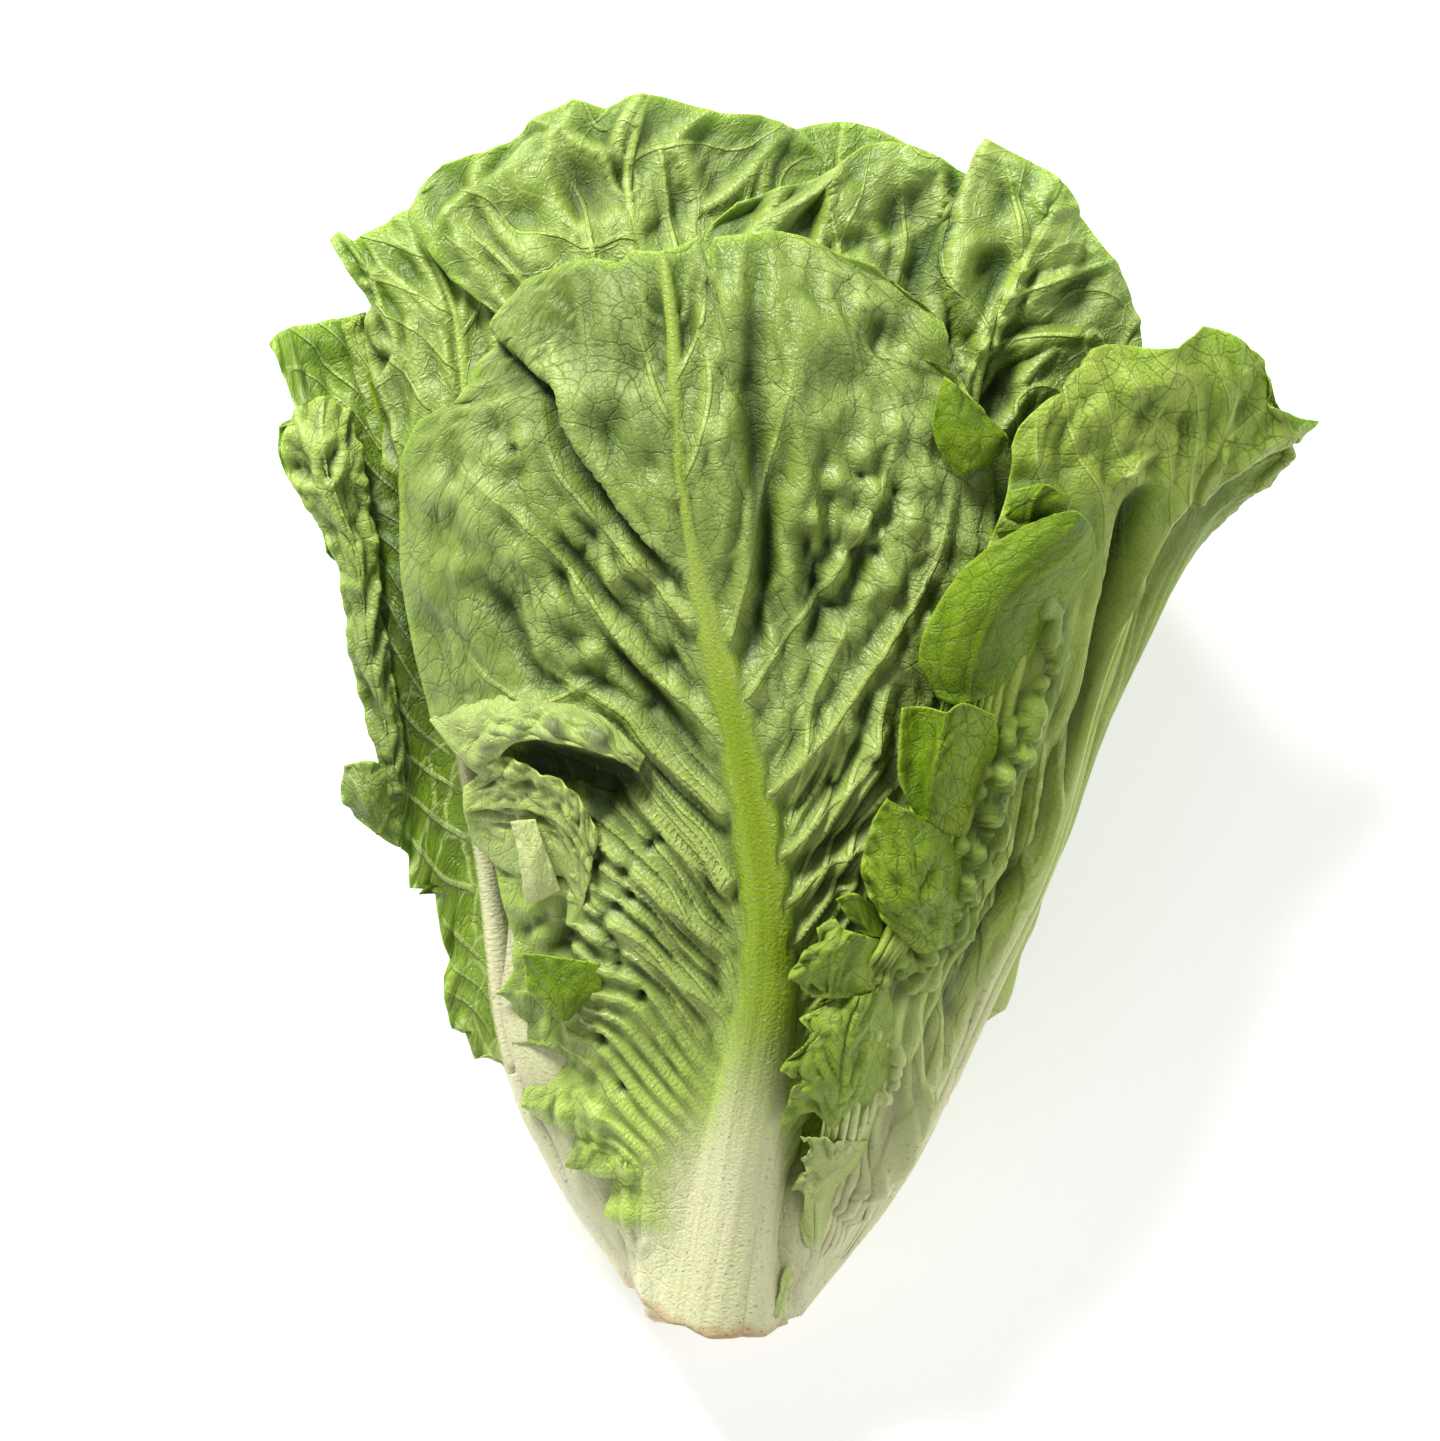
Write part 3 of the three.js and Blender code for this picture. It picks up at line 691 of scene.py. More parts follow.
def leaf_material(name, blade, dark, light, inner, inner_vein, vein, rib, cream, net_size, gloss,
                  shine=0.35, net_colour=None, net_rise=-0.35, pale_net=0.0):
    """Leaf skin: green blade, darker net outside, paler veins inside, cream towards the base."""
    material = bpy.data.materials.new(name)
    material.use_nodes = True
    tree = material.node_tree
    link = tree.links.new
    shader = tree.nodes["Principled BSDF"]
    place = attribute(tree, "place").outputs["Vector"]
    masks = {key: attribute(tree, key).outputs["Fac"]
             for key in ("rib", "vein", "line", "pale", "rim", "painted_shade_mask", "vivid", "young", "net",
                         "inside", "cut", "lateral", "lateral_gap", "lateral_on",
                         "hand_distance", "hand_on", "hollow_shade", "pale_crest_and_highlight")}

    net = add(tree, "ShaderNodeGroup", node_tree=VEIN_NET)
    net.inputs["Mesh Size"].default_value = net_size
    net.inputs["Line Width"].default_value = 0.035
    link(place, net.inputs["Place"])
    wide_net = add(tree, "ShaderNodeGroup", node_tree=VEIN_NET)
    wide_net.inputs["Mesh Size"].default_value = 2.3 * net_size
    wide_net.inputs["Line Width"].default_value = 0.022
    link(place, wide_net.inputs["Place"])
    web = add(tree, "ShaderNodeGroup", node_tree=VEIN_NET)
    web.inputs["Mesh Size"].default_value = 1.7 * net_size
    web.inputs["Line Width"].default_value = 0.05
    link(place, web.inputs["Place"])
    net_colour = net_colour or dark
    patches = add(tree, "ShaderNodeGroup", node_tree=MOTTLE)
    patches.inputs["Patch Size"].default_value = 20.0
    link(place, patches.inputs["Place"])
    skin = add(tree, "ShaderNodeGroup", node_tree=SKIN)
    link(place, skin.inputs["Place"])

    veins = add(tree, "ShaderNodeGroup", node_tree=VEIN_LINES)
    for label, key in (("Phase", "lateral"), ("Gap", "lateral_gap"), ("Phase On", "lateral_on"),
                       ("Distance", "hand_distance"), ("Distance On", "hand_on")):
        link(masks[key], veins.inputs[label])
    fibres = add(tree, "ShaderNodeGroup", node_tree=FIBRES)
    link(place, fibres.inputs["Place"])

    patch = patches.outputs["Patches"]
    streak = fibres.outputs["Streaks"]
    vein_line = veins.outputs["Lines"]
    broken = maths(tree, "MULTIPLY", masks["net"], maths(tree, "MULTIPLY_ADD", patch, 0.6, 0.4))
    lines = maths(tree, "MULTIPLY", net.outputs["Lines"], broken)
    fine = maths(tree, "MULTIPLY", net.outputs["Fine Lines"], broken)

    wide = maths(tree, "MULTIPLY", wide_net.outputs["Lines"], broken)

    outer = mixed(tree, patch, blade, light)
    outer = mixed(tree, maths(tree, "MULTIPLY", lines, 0.6), outer, net_colour)
    outer = mixed(tree, maths(tree, "MULTIPLY", wide, 0.72), outer, net_colour)
    outer = mixed(tree, maths(tree, "MULTIPLY", fine, 0.22), outer, net_colour)
    outer = mixed(tree, maths(tree, "MULTIPLY", masks["line"], 0.12), outer, vein)
    outer = mixed(tree, maths(tree, "MULTIPLY", masks["vein"], 0.3), outer, vein)
    outer = mixed(tree, maths(tree, "MULTIPLY", vein_line, 0.6), outer, vein)

    under = mixed(tree, maths(tree, "MULTIPLY", patch, 0.4), inner, blade)
    under = mixed(tree, maths(tree, "MULTIPLY", lines, 0.3), under, inner_vein)
    under = mixed(tree, maths(tree, "MULTIPLY", vein_line, 0.9), under, inner_vein)

    colour = mixed(tree, masks["inside"], outer, under)
    # Deep saturated green, used as tissue colour and also as painted shade over shaded zones.
    vivid = mixed(tree, patch, (0.08, 0.15, 0.001), (0.165, 0.27, 0.002))
    vivid = mixed(tree, maths(tree, "MULTIPLY", lines, 0.4), vivid, dark)
    vivid = mixed(tree, maths(tree, "MULTIPLY", web.outputs["Lines"], pale_net), vivid, inner_vein)
    vivid = mixed(tree, maths(tree, "MULTIPLY", vein_line, 0.85), vivid, inner_vein)
    colour = mixed(tree, masks["vivid"], colour, vivid)
    colour = mixed(tree, masks["young"], colour, (0.41, 0.55, 0.10))
    # Painted shade in hollows of the relief; paler crests, partly vein tissue and partly painted highlight.
    colour = mixed(tree, maths(tree, "MULTIPLY", masks["hollow_shade"], 0.88), colour, dark)
    colour = mixed(tree, maths(tree, "MULTIPLY", masks["pale_crest_and_highlight"], 0.3), colour, vein)
    # Painted shade: near-black green where the surface is sunk and where it is marked as shaded.
    colour = mixed(tree, maths(tree, "MULTIPLY", masks["painted_shade_mask"], 0.92), colour, (0.02, 0.042, 0.002))
    # Paler margins: partly thin margin tissue, partly a painted edge highlight.
    colour = mixed(tree, maths(tree, "MULTIPLY", masks["rim"], 0.55), colour, (0.33, 0.50, 0.04))
    bright_rib = tuple(1.3 * part + 0.01 for part in rib)
    striped_rib = mixed(tree, maths(tree, "MULTIPLY", streak, 0.7), rib, bright_rib)
    striped_rib = mixed(tree, maths(tree, "MULTIPLY", patch, 0.3), striped_rib, (0.16, 0.27, 0.003))
    colour = mixed(tree, masks["rib"], colour, striped_rib)
    on_vein = maths(tree, "MAXIMUM", masks["rib"], vein_line)
    grains = maths(tree, "MULTIPLY", patches.outputs["Specks"], on_vein)
    colour = mixed(tree, maths(tree, "MULTIPLY", grains, 0.5), colour, (0.55, 0.62, 0.30))
    whitening = maths(tree, "MULTIPLY_ADD", streak, 0.16, 0.86)
    pale = maths(tree, "MULTIPLY", masks["pale"], whitening, clamp=True)
    colour = mixed(tree, pale, colour, cream)
    specks = maths(tree, "MULTIPLY", patches.outputs["Specks"], masks["pale"])
    colour = mixed(tree, maths(tree, "MULTIPLY", specks, 0.45), colour, (0.22, 0.20, 0.05))
    uneven = maths(tree, "MULTIPLY_ADD", patch, 0.7, 0.35, clamp=True)
    browned = mixed(tree, patches.outputs["Specks"], (0.50, 0.31, 0.14), (0.10, 0.055, 0.02))
    colour = mixed(tree, maths(tree, "MULTIPLY", masks["cut"], uneven), colour, browned)
    link(colour, shader.inputs["Base Color"])

    pads = maths(tree, "MULTIPLY", net.outputs["Pad"], masks["net"])
    height = maths(tree, "MULTIPLY_ADD", pads, 0.22, maths(tree, "MULTIPLY", lines, net_rise))
    height = maths(tree, "MULTIPLY_ADD", wide, 0.9 * net_rise, height)
    height = maths(tree, "MULTIPLY_ADD", fine, -0.2, height)
    height = maths(tree, "MULTIPLY_ADD", grains, 0.4, height)
    height = maths(tree, "MULTIPLY_ADD", vein_line, 1.0, height)
    height = maths(tree, "MULTIPLY_ADD", skin.outputs["Grain"], 0.7, height)
    on_rib = maths(tree, "MULTIPLY", masks["rib"], streak)
    height = maths(tree, "MULTIPLY_ADD", on_rib, 0.3, height)
    bump = add(tree, "ShaderNodeBump")
    bump.inputs["Strength"].default_value = 0.8
    bump.inputs["Distance"].default_value = 0.0007
    link(height, bump.inputs["Height"])
    link(bump.outputs["Normal"], shader.inputs["Normal"])
    rough = ranged(tree, patch, 0.0, 1.0, gloss - 0.05, gloss + 0.07)
    rough = maths(tree, "MULTIPLY_ADD", masks["painted_shade_mask"], 0.4, rough)
    link(rough, shader.inputs["Roughness"])
    shader.inputs["Specular IOR Level"].default_value = shine
    shader.inputs["Subsurface Weight"].default_value = 0.2
    shader.inputs["Subsurface Radius"].default_value = (0.5, 1.0, 0.1)
    shader.inputs["Subsurface Scale"].default_value = 0.002
    return material


CREAM = (0.67, 0.67, 0.385)
OUTER_SKIN = leaf_material(
    "outer_leaf_skin",
    blade=(0.175, 0.255, 0.036), dark=(0.058, 0.11, 0.008), light=(0.275, 0.365, 0.085),
    inner=(0.11, 0.19, 0.010), inner_vein=(0.42, 0.52, 0.15),
    vein=(0.36, 0.46, 0.10), rib=(0.205, 0.3, 0.002), cream=CREAM, net_size=6.2, gloss=0.34,
    shine=0.5, pale_net=0.85,
)
RIGHT_SKIN = leaf_material(
    "right_leaf_skin",
    blade=(0.20, 0.295, 0.018), dark=(0.05, 0.10, 0.002), light=(0.32, 0.425, 0.055),
    inner=(0.11, 0.19, 0.010), inner_vein=(0.42, 0.52, 0.15),
    vein=(0.40, 0.50, 0.12), rib=(0.36, 0.45, 0.09), cream=CREAM, net_size=6.2, gloss=0.4,
    shine=0.35,
)
FRILL_SKIN = leaf_material(
    "frilled_margin_skin",
    blade=(0.105, 0.18, 0.003), dark=(0.027, 0.066, 0.001), light=(0.26, 0.37, 0.015),
    inner=(0.12, 0.2, 0.008), inner_vein=(0.40, 0.50, 0.10),
    vein=(0.30, 0.40, 0.05), rib=(0.28, 0.38, 0.02), cream=CREAM, net_size=5.0, gloss=0.35,
    shine=0.25,
)
INNER_SKIN = leaf_material(
    "inner_leaf_skin",
    blade=(0.165, 0.25, 0.024), dark=(0.05, 0.105, 0.004), light=(0.28, 0.375, 0.078),
    inner=(0.14, 0.26, 0.02), inner_vein=(0.4, 0.52, 0.16),
    vein=(0.38, 0.50, 0.11), rib=(0.32, 0.44, 0.07), cream=CREAM, net_size=6.2, gloss=0.33,
    shine=0.55, net_colour=(0.37, 0.47, 0.14), net_rise=0.4,
)
HEART_SKIN = leaf_material(
    "heart_leaf_skin",
    blade=(0.38, 0.50, 0.12), dark=(0.25, 0.36, 0.06), light=(0.50, 0.60, 0.22),
    inner=(0.34, 0.48, 0.10), inner_vein=(0.58, 0.64, 0.32),
    vein=(0.60, 0.66, 0.32), rib=(0.52, 0.58, 0.25), cream=CREAM, net_size=4.8, gloss=0.4,
)


# ---------------------------------------------------------------- the leaves

NETS = {
    "front_leaf": [
        [(-33.5, -125, 29), (-27, -130.5, 36.5), (-17, -133.5, 40), (-9, -134, 38.5),
         (-2, -132.5, 33)],
        [(-39, -107, 40.5), (-28, -108, 46), (-13, -108, 50), (-7, -108, 49), (-2.5, -106, 45)],
        [(-55, -86, 43), (-34, -88, 54), (-10, -88, 60), (-3, -88, 59), (3, -84, 54)],
        [(-65, -62, 54), (-38, -60, 67), (-6, -60, 73), (5, -60, 71), (13, -58, 66)],
        [(-67, -30, 64), (-40, -30, 78), (-7, -30, 84), (10, -30, 82), (25, -28, 76)],
        [(-79, 0, 73), (-48, 2, 87), (-13, 0, 93), (12, 2, 92), (36, 2, 85)],
        [(-84, 32, 80), (-56, 31, 93), (-21, 32, 100), (8, 31, 99), (43, 30, 90)],
        [(-84, 57, 86), (-57, 60, 98), (-25, 60, 106), (6, 60, 105), (43, 58, 94)],
        [(-66, 80, 92), (-48, 82, 102), (-26, 82, 108), (2, 83, 107), (33, 80, 99)],
        [(-55, 95, 95), (-42, 98, 101), (-28, 100, 106), (-5, 103, 105), (16, 97, 100)],
    ],
    "left_outer_leaf": [
        [(-28, -126.5, 31), (-32, -125.5, 31), (-35, -124, 25), (-33, -124, 15), (-29, -124, 9)],
        [(-36, -104, 35), (-42, -104, 36), (-47.5, -104, 31), (-45.5, -104, 16), (-36, -103, 8)],
        [(-49, -84, 41), (-54, -85, 42), (-58, -85, 37), (-57, -85, 18), (-44, -84, 8)],
        [(-71, -65, 44), (-67, -65, 45), (-62, -65, 45), (-60.5, -64, 22), (-46, -63, 8)],
        [(-80, -36, 50), (-73, -35, 51), (-66, -33, 52), (-65, -33, 27), (-50, -32, 8)],
        [(-87, -12, 55), (-79, -10, 57), (-70.5, -8, 58), (-70.5, -8, 32), (-54, -7, 9)],
        [(-95, 14, 62), (-86, 15, 63), (-76, 17, 62), (-77, 17, 36), (-60, 16, 11)],
        [(-102, 41, 70), (-94, 42, 67), (-84, 42, 61), (-87, 41, 38), (-68, 38, 15)],
        [(-111, 60, 74), (-101, 62, 70), (-91, 64, 63), (-94, 62, 44), (-78, 58, 22)],
        [(-112, 78, 72), (-106, 84, 68), (-99, 86, 62), (-99, 82, 50), (-90, 76, 36)],
    ],
    "right_outer_leaf": [
        [(-2, -132, 32), (0, -131.5, 28), (1, -130.5, 22), (0, -128, 15), (-4, -126, 9)],
        [(1, -105, 47), (12, -106, 42), (20.5, -106, 28), (18, -105, 15), (8, -104, 8)],
        [(3, -84, 67), (18, -85, 59), (31, -86, 36), (31, -85, 18), (18, -84, 8)],
        [(2, -62, 78), (20, -60, 75), (42, -61, 50), (43, -60, 21), (28, -58, 8)],
        [(16, -32, 88), (34, -31, 86), (56, -30, 58), (56, -30, 25), (38, -28, 8.5)],
        [(25, 3, 95), (43, 2, 94), (65, 0, 68), (67, 0, 32), (48, 0, 10)],
        [(28, 24, 98), (50, 28, 99), (75, 29, 72), (80, 24, 46), (62, 18, 20)],
        [(46, 50, 101), (62, 49, 99), (84, 47, 78), (95, 44, 56), (86, 36, 34)],
        [(52, 66, 102), (68, 66, 99), (94, 64, 82), (110, 60, 68), (103, 53, 50)],
        [(66, 72, 100), (76, 80, 97), (97, 82, 88), (106, 72, 80), (113, 65, 72)],
    ],
    "upper_left_leaf": [
        [(-34, -108, 28), (-32, -108, 33), (-29, -109, 36), (-26, -109, 37), (-24, -109, 37)],
        [(-50, -84, 33), (-47, -85, 40), (-41, -85, 44), (-35, -85, 46), (-30, -85, 47)],
        [(-60, -50, 42), (-56, -50, 52), (-49, -50, 58), (-41, -50, 61), (-34, -50, 62)],
        [(-70, -10, 54), (-66, -10, 62), (-58, -10, 69), (-49, -10, 74), (-40, -10, 76)],
        [(-78, 20, 67), (-72, 20, 73), (-64, 20, 77), (-55, 20, 80), (-46, 20, 81)],
        [(-88, 50, 74), (-80, 52, 79), (-70, 54, 82), (-60, 54, 84), (-50, 54, 83)],
        [(-94, 82, 75), (-84, 84, 78), (-73, 86, 80), (-62, 86, 80), (-52, 86, 79)],
        [(-100, 102, 70), (-92, 107, 72), (-84, 110, 73), (-74, 107, 73), (-64, 100, 74)],
    ],
    "top_back_leaf": [
        [(-21, -100, 41), (-17, -100, 43), (-12, -100, 43.5), (-7, -100, 43), (-3, -100, 41)],
        [(-24, -60, 60), (-18, -60, 62.5), (-11, -60, 63.5), (-4, -60, 62.5), (1, -60, 60)],
        [(-30, -20, 75), (-21, -20, 78), (-11, -20, 79.5), (-2, -20, 78.5), (4, -20, 76)],
        [(-39, 20, 86), (-30, 20, 89), (-18, 20, 91), (-6, 20, 90), (4, 20, 86)],
        [(-54, 60, 90.5), (-42, 60, 94), (-26, 60, 96), (-10, 60, 92), (8, 60, 84)],
        [(-66, 88, 88), (-50, 90, 93), (-32, 92, 94), (-12, 92, 86.5), (10, 90, 77.5)],
        [(-79, 108, 84), (-60, 114, 89), (-36, 117, 91), (-12, 115, 84), (10, 111, 75.5)],
        [(-76, 120, 83), (-54, 131, 85), (-32, 135, 86), (-12, 131, 81.5), (3, 127, 75)],
    ],
    "upper_right_leaf": [
        [(0, -99, 36), (4, -99, 36.5), (8, -99, 35), (11, -99, 32.5), (12, -99, 30)],
        [(7, -60, 56), (15, -60, 56), (24, -60, 53), (31, -60, 47), (34, -60, 40)],
        [(10, -20, 70), (22, -20, 71), (34, -20, 68), (43, -20, 61), (47, -20, 52)],
        [(10, 20, 84), (26, 20, 84), (42, 20, 80), (53, 20, 73), (59, 20, 64)],
        [(4, 60, 94), (22, 61, 90), (38, 60, 86.5), (53, 56, 82), (65, 50, 73)],
        [(-10, 88, 96), (14, 89, 92), (42, 83, 88), (59, 74, 84), (72, 66, 76)],
        [(-17, 102, 94), (14, 109, 90), (49, 100, 88), (66, 89, 84), (75.5, 78, 79)],
        [(-12, 111, 92), (20, 124, 88), (57, 115, 86), (69, 101, 83), (74.5, 89, 80)],
    ],
    "far_top_leaf": [
        [(-17, -99, 34), (-14, -99, 35.5), (-11, -99, 36), (-8, -99, 35.5), (-5, -99, 34)],
        [(-18, -60, 50), (-13, -60, 52), (-7, -60, 53), (-1, -60, 52), (3, -60, 50)],
        [(-20, -20, 65), (-12, -20, 67), (-3, -20, 68), (6, -20, 66), (12, -20, 62)],
        [(-22, 20, 76), (-11, 20, 78), (1, 20, 78), (13, 20, 76), (24, 20, 71)],
        [(-22, 60, 80), (-10, 60, 81), (6, 60, 79), (21, 60, 77), (36, 60, 72)],
        [(-20, 90, 78), (-8, 92, 78), (8, 92, 74), (22, 92, 73), (36, 88, 70)],
        [(-16, 110, 76), (-6, 113, 74), (9, 114, 69), (23, 113, 68), (36, 108, 66)],
        [(-8, 122, 73), (0, 128, 70), (11, 130, 66), (22, 127, 65), (31, 120, 64)],
    ],
    "under_leaf": [
        [(-26, -122, 6), (-22, -123, 4.5), (-16, -124, 4), (-10, -123, 4.5), (-7, -122, 6)],
        [(-38, -100, 3), (-28, -100, 1.2), (-16, -100, 1.2), (-4, -100, 1.2), (7, -100, 3)],
        [(-46, -60, 2.6), (-30, -60, 1.2), (-13, -60, 1.2), (4, -60, 1.2), (20, -60, 2.6)],
        [(-52, -20, 2.6), (-34, -20, 1.2), (-10, -20, 1.2), (14, -20, 1.2), (32, -20, 2.6)],
        [(-58, 20, 3), (-38, 20, 1.2), (-8, 20, 1.2), (22, 20, 1.2), (42, 20, 3)],
        [(-60, 60, 3.5), (-38, 62, 1.2), (-6, 64, 1.2), (26, 62, 1.2), (48, 60, 3.5)],
        [(-54, 88, 8), (-34, 92, 3), (-5, 94, 2), (24, 92, 3), (44, 88, 8)],
        [(-44, 106, 16), (-26, 112, 11), (-4, 115, 9), (18, 112, 11), (36, 106, 16)],
    ],
    "under_left_leaf": [
        [(-34, -108, 23), (-34, -108, 18), (-31, -108, 13), (-25, -108, 10), (-18, -108, 9)],
        [(-50, -80, 29), (-50, -80, 21), (-43, -80, 14), (-32, -80, 10), (-18, -80, 9)],
        [(-58, -40, 36), (-59, -40, 25), (-50, -40, 15), (-34, -40, 10), (-14, -40, 8.5)],
        [(-66, 0, 44), (-66, 0, 30), (-54, 0, 18), (-34, 0, 11), (-10, 0, 8.5)],
        [(-78, 45, 54), (-77, 45, 37), (-62, 45, 23), (-40, 45, 14), (-12, 45, 9.5)],
        [(-88, 80, 62), (-84, 82, 47), (-66, 84, 33), (-42, 86, 23), (-14, 84, 17)],
        [(-82, 102, 62), (-74, 108, 52), (-56, 110, 42), (-38, 110, 33), (-20, 106, 26)],
    ],
    "under_right_leaf": [
        [(-12, -108, 9), (-6, -108, 10.5), (-1, -108, 13), (3, -108, 16), (5, -108, 19)],
        [(-9, -80, 10), (2, -80, 11), (13, -80, 14), (21, -80, 18.5), (24, -80, 24)],
        [(-5, -40, 11), (10, -40, 12), (27, -40, 16), (38, -40, 23), (42, -40, 31)],
        [(0, 0, 13), (18, 0, 14), (37, 0, 19.5), (50, 0, 29), (54, 0, 39)],
        [(-2, 45, 15), (20, 45, 18), (44, 45, 26), (61, 45, 38), (66, 45, 50)],
        [(-4, 80, 23), (20, 82, 26), (44, 82, 36), (62, 80, 49), (69, 76, 60)],
        [(4, 102, 32), (22, 106, 37), (42, 104, 47), (56, 98, 59), (64, 92, 67)],
    ],
}


def near(x, y, centre, radius):
    return np.exp(-((x - centre[0]) ** 2 + (y - centre[1]) ** 2) / radius ** 2)


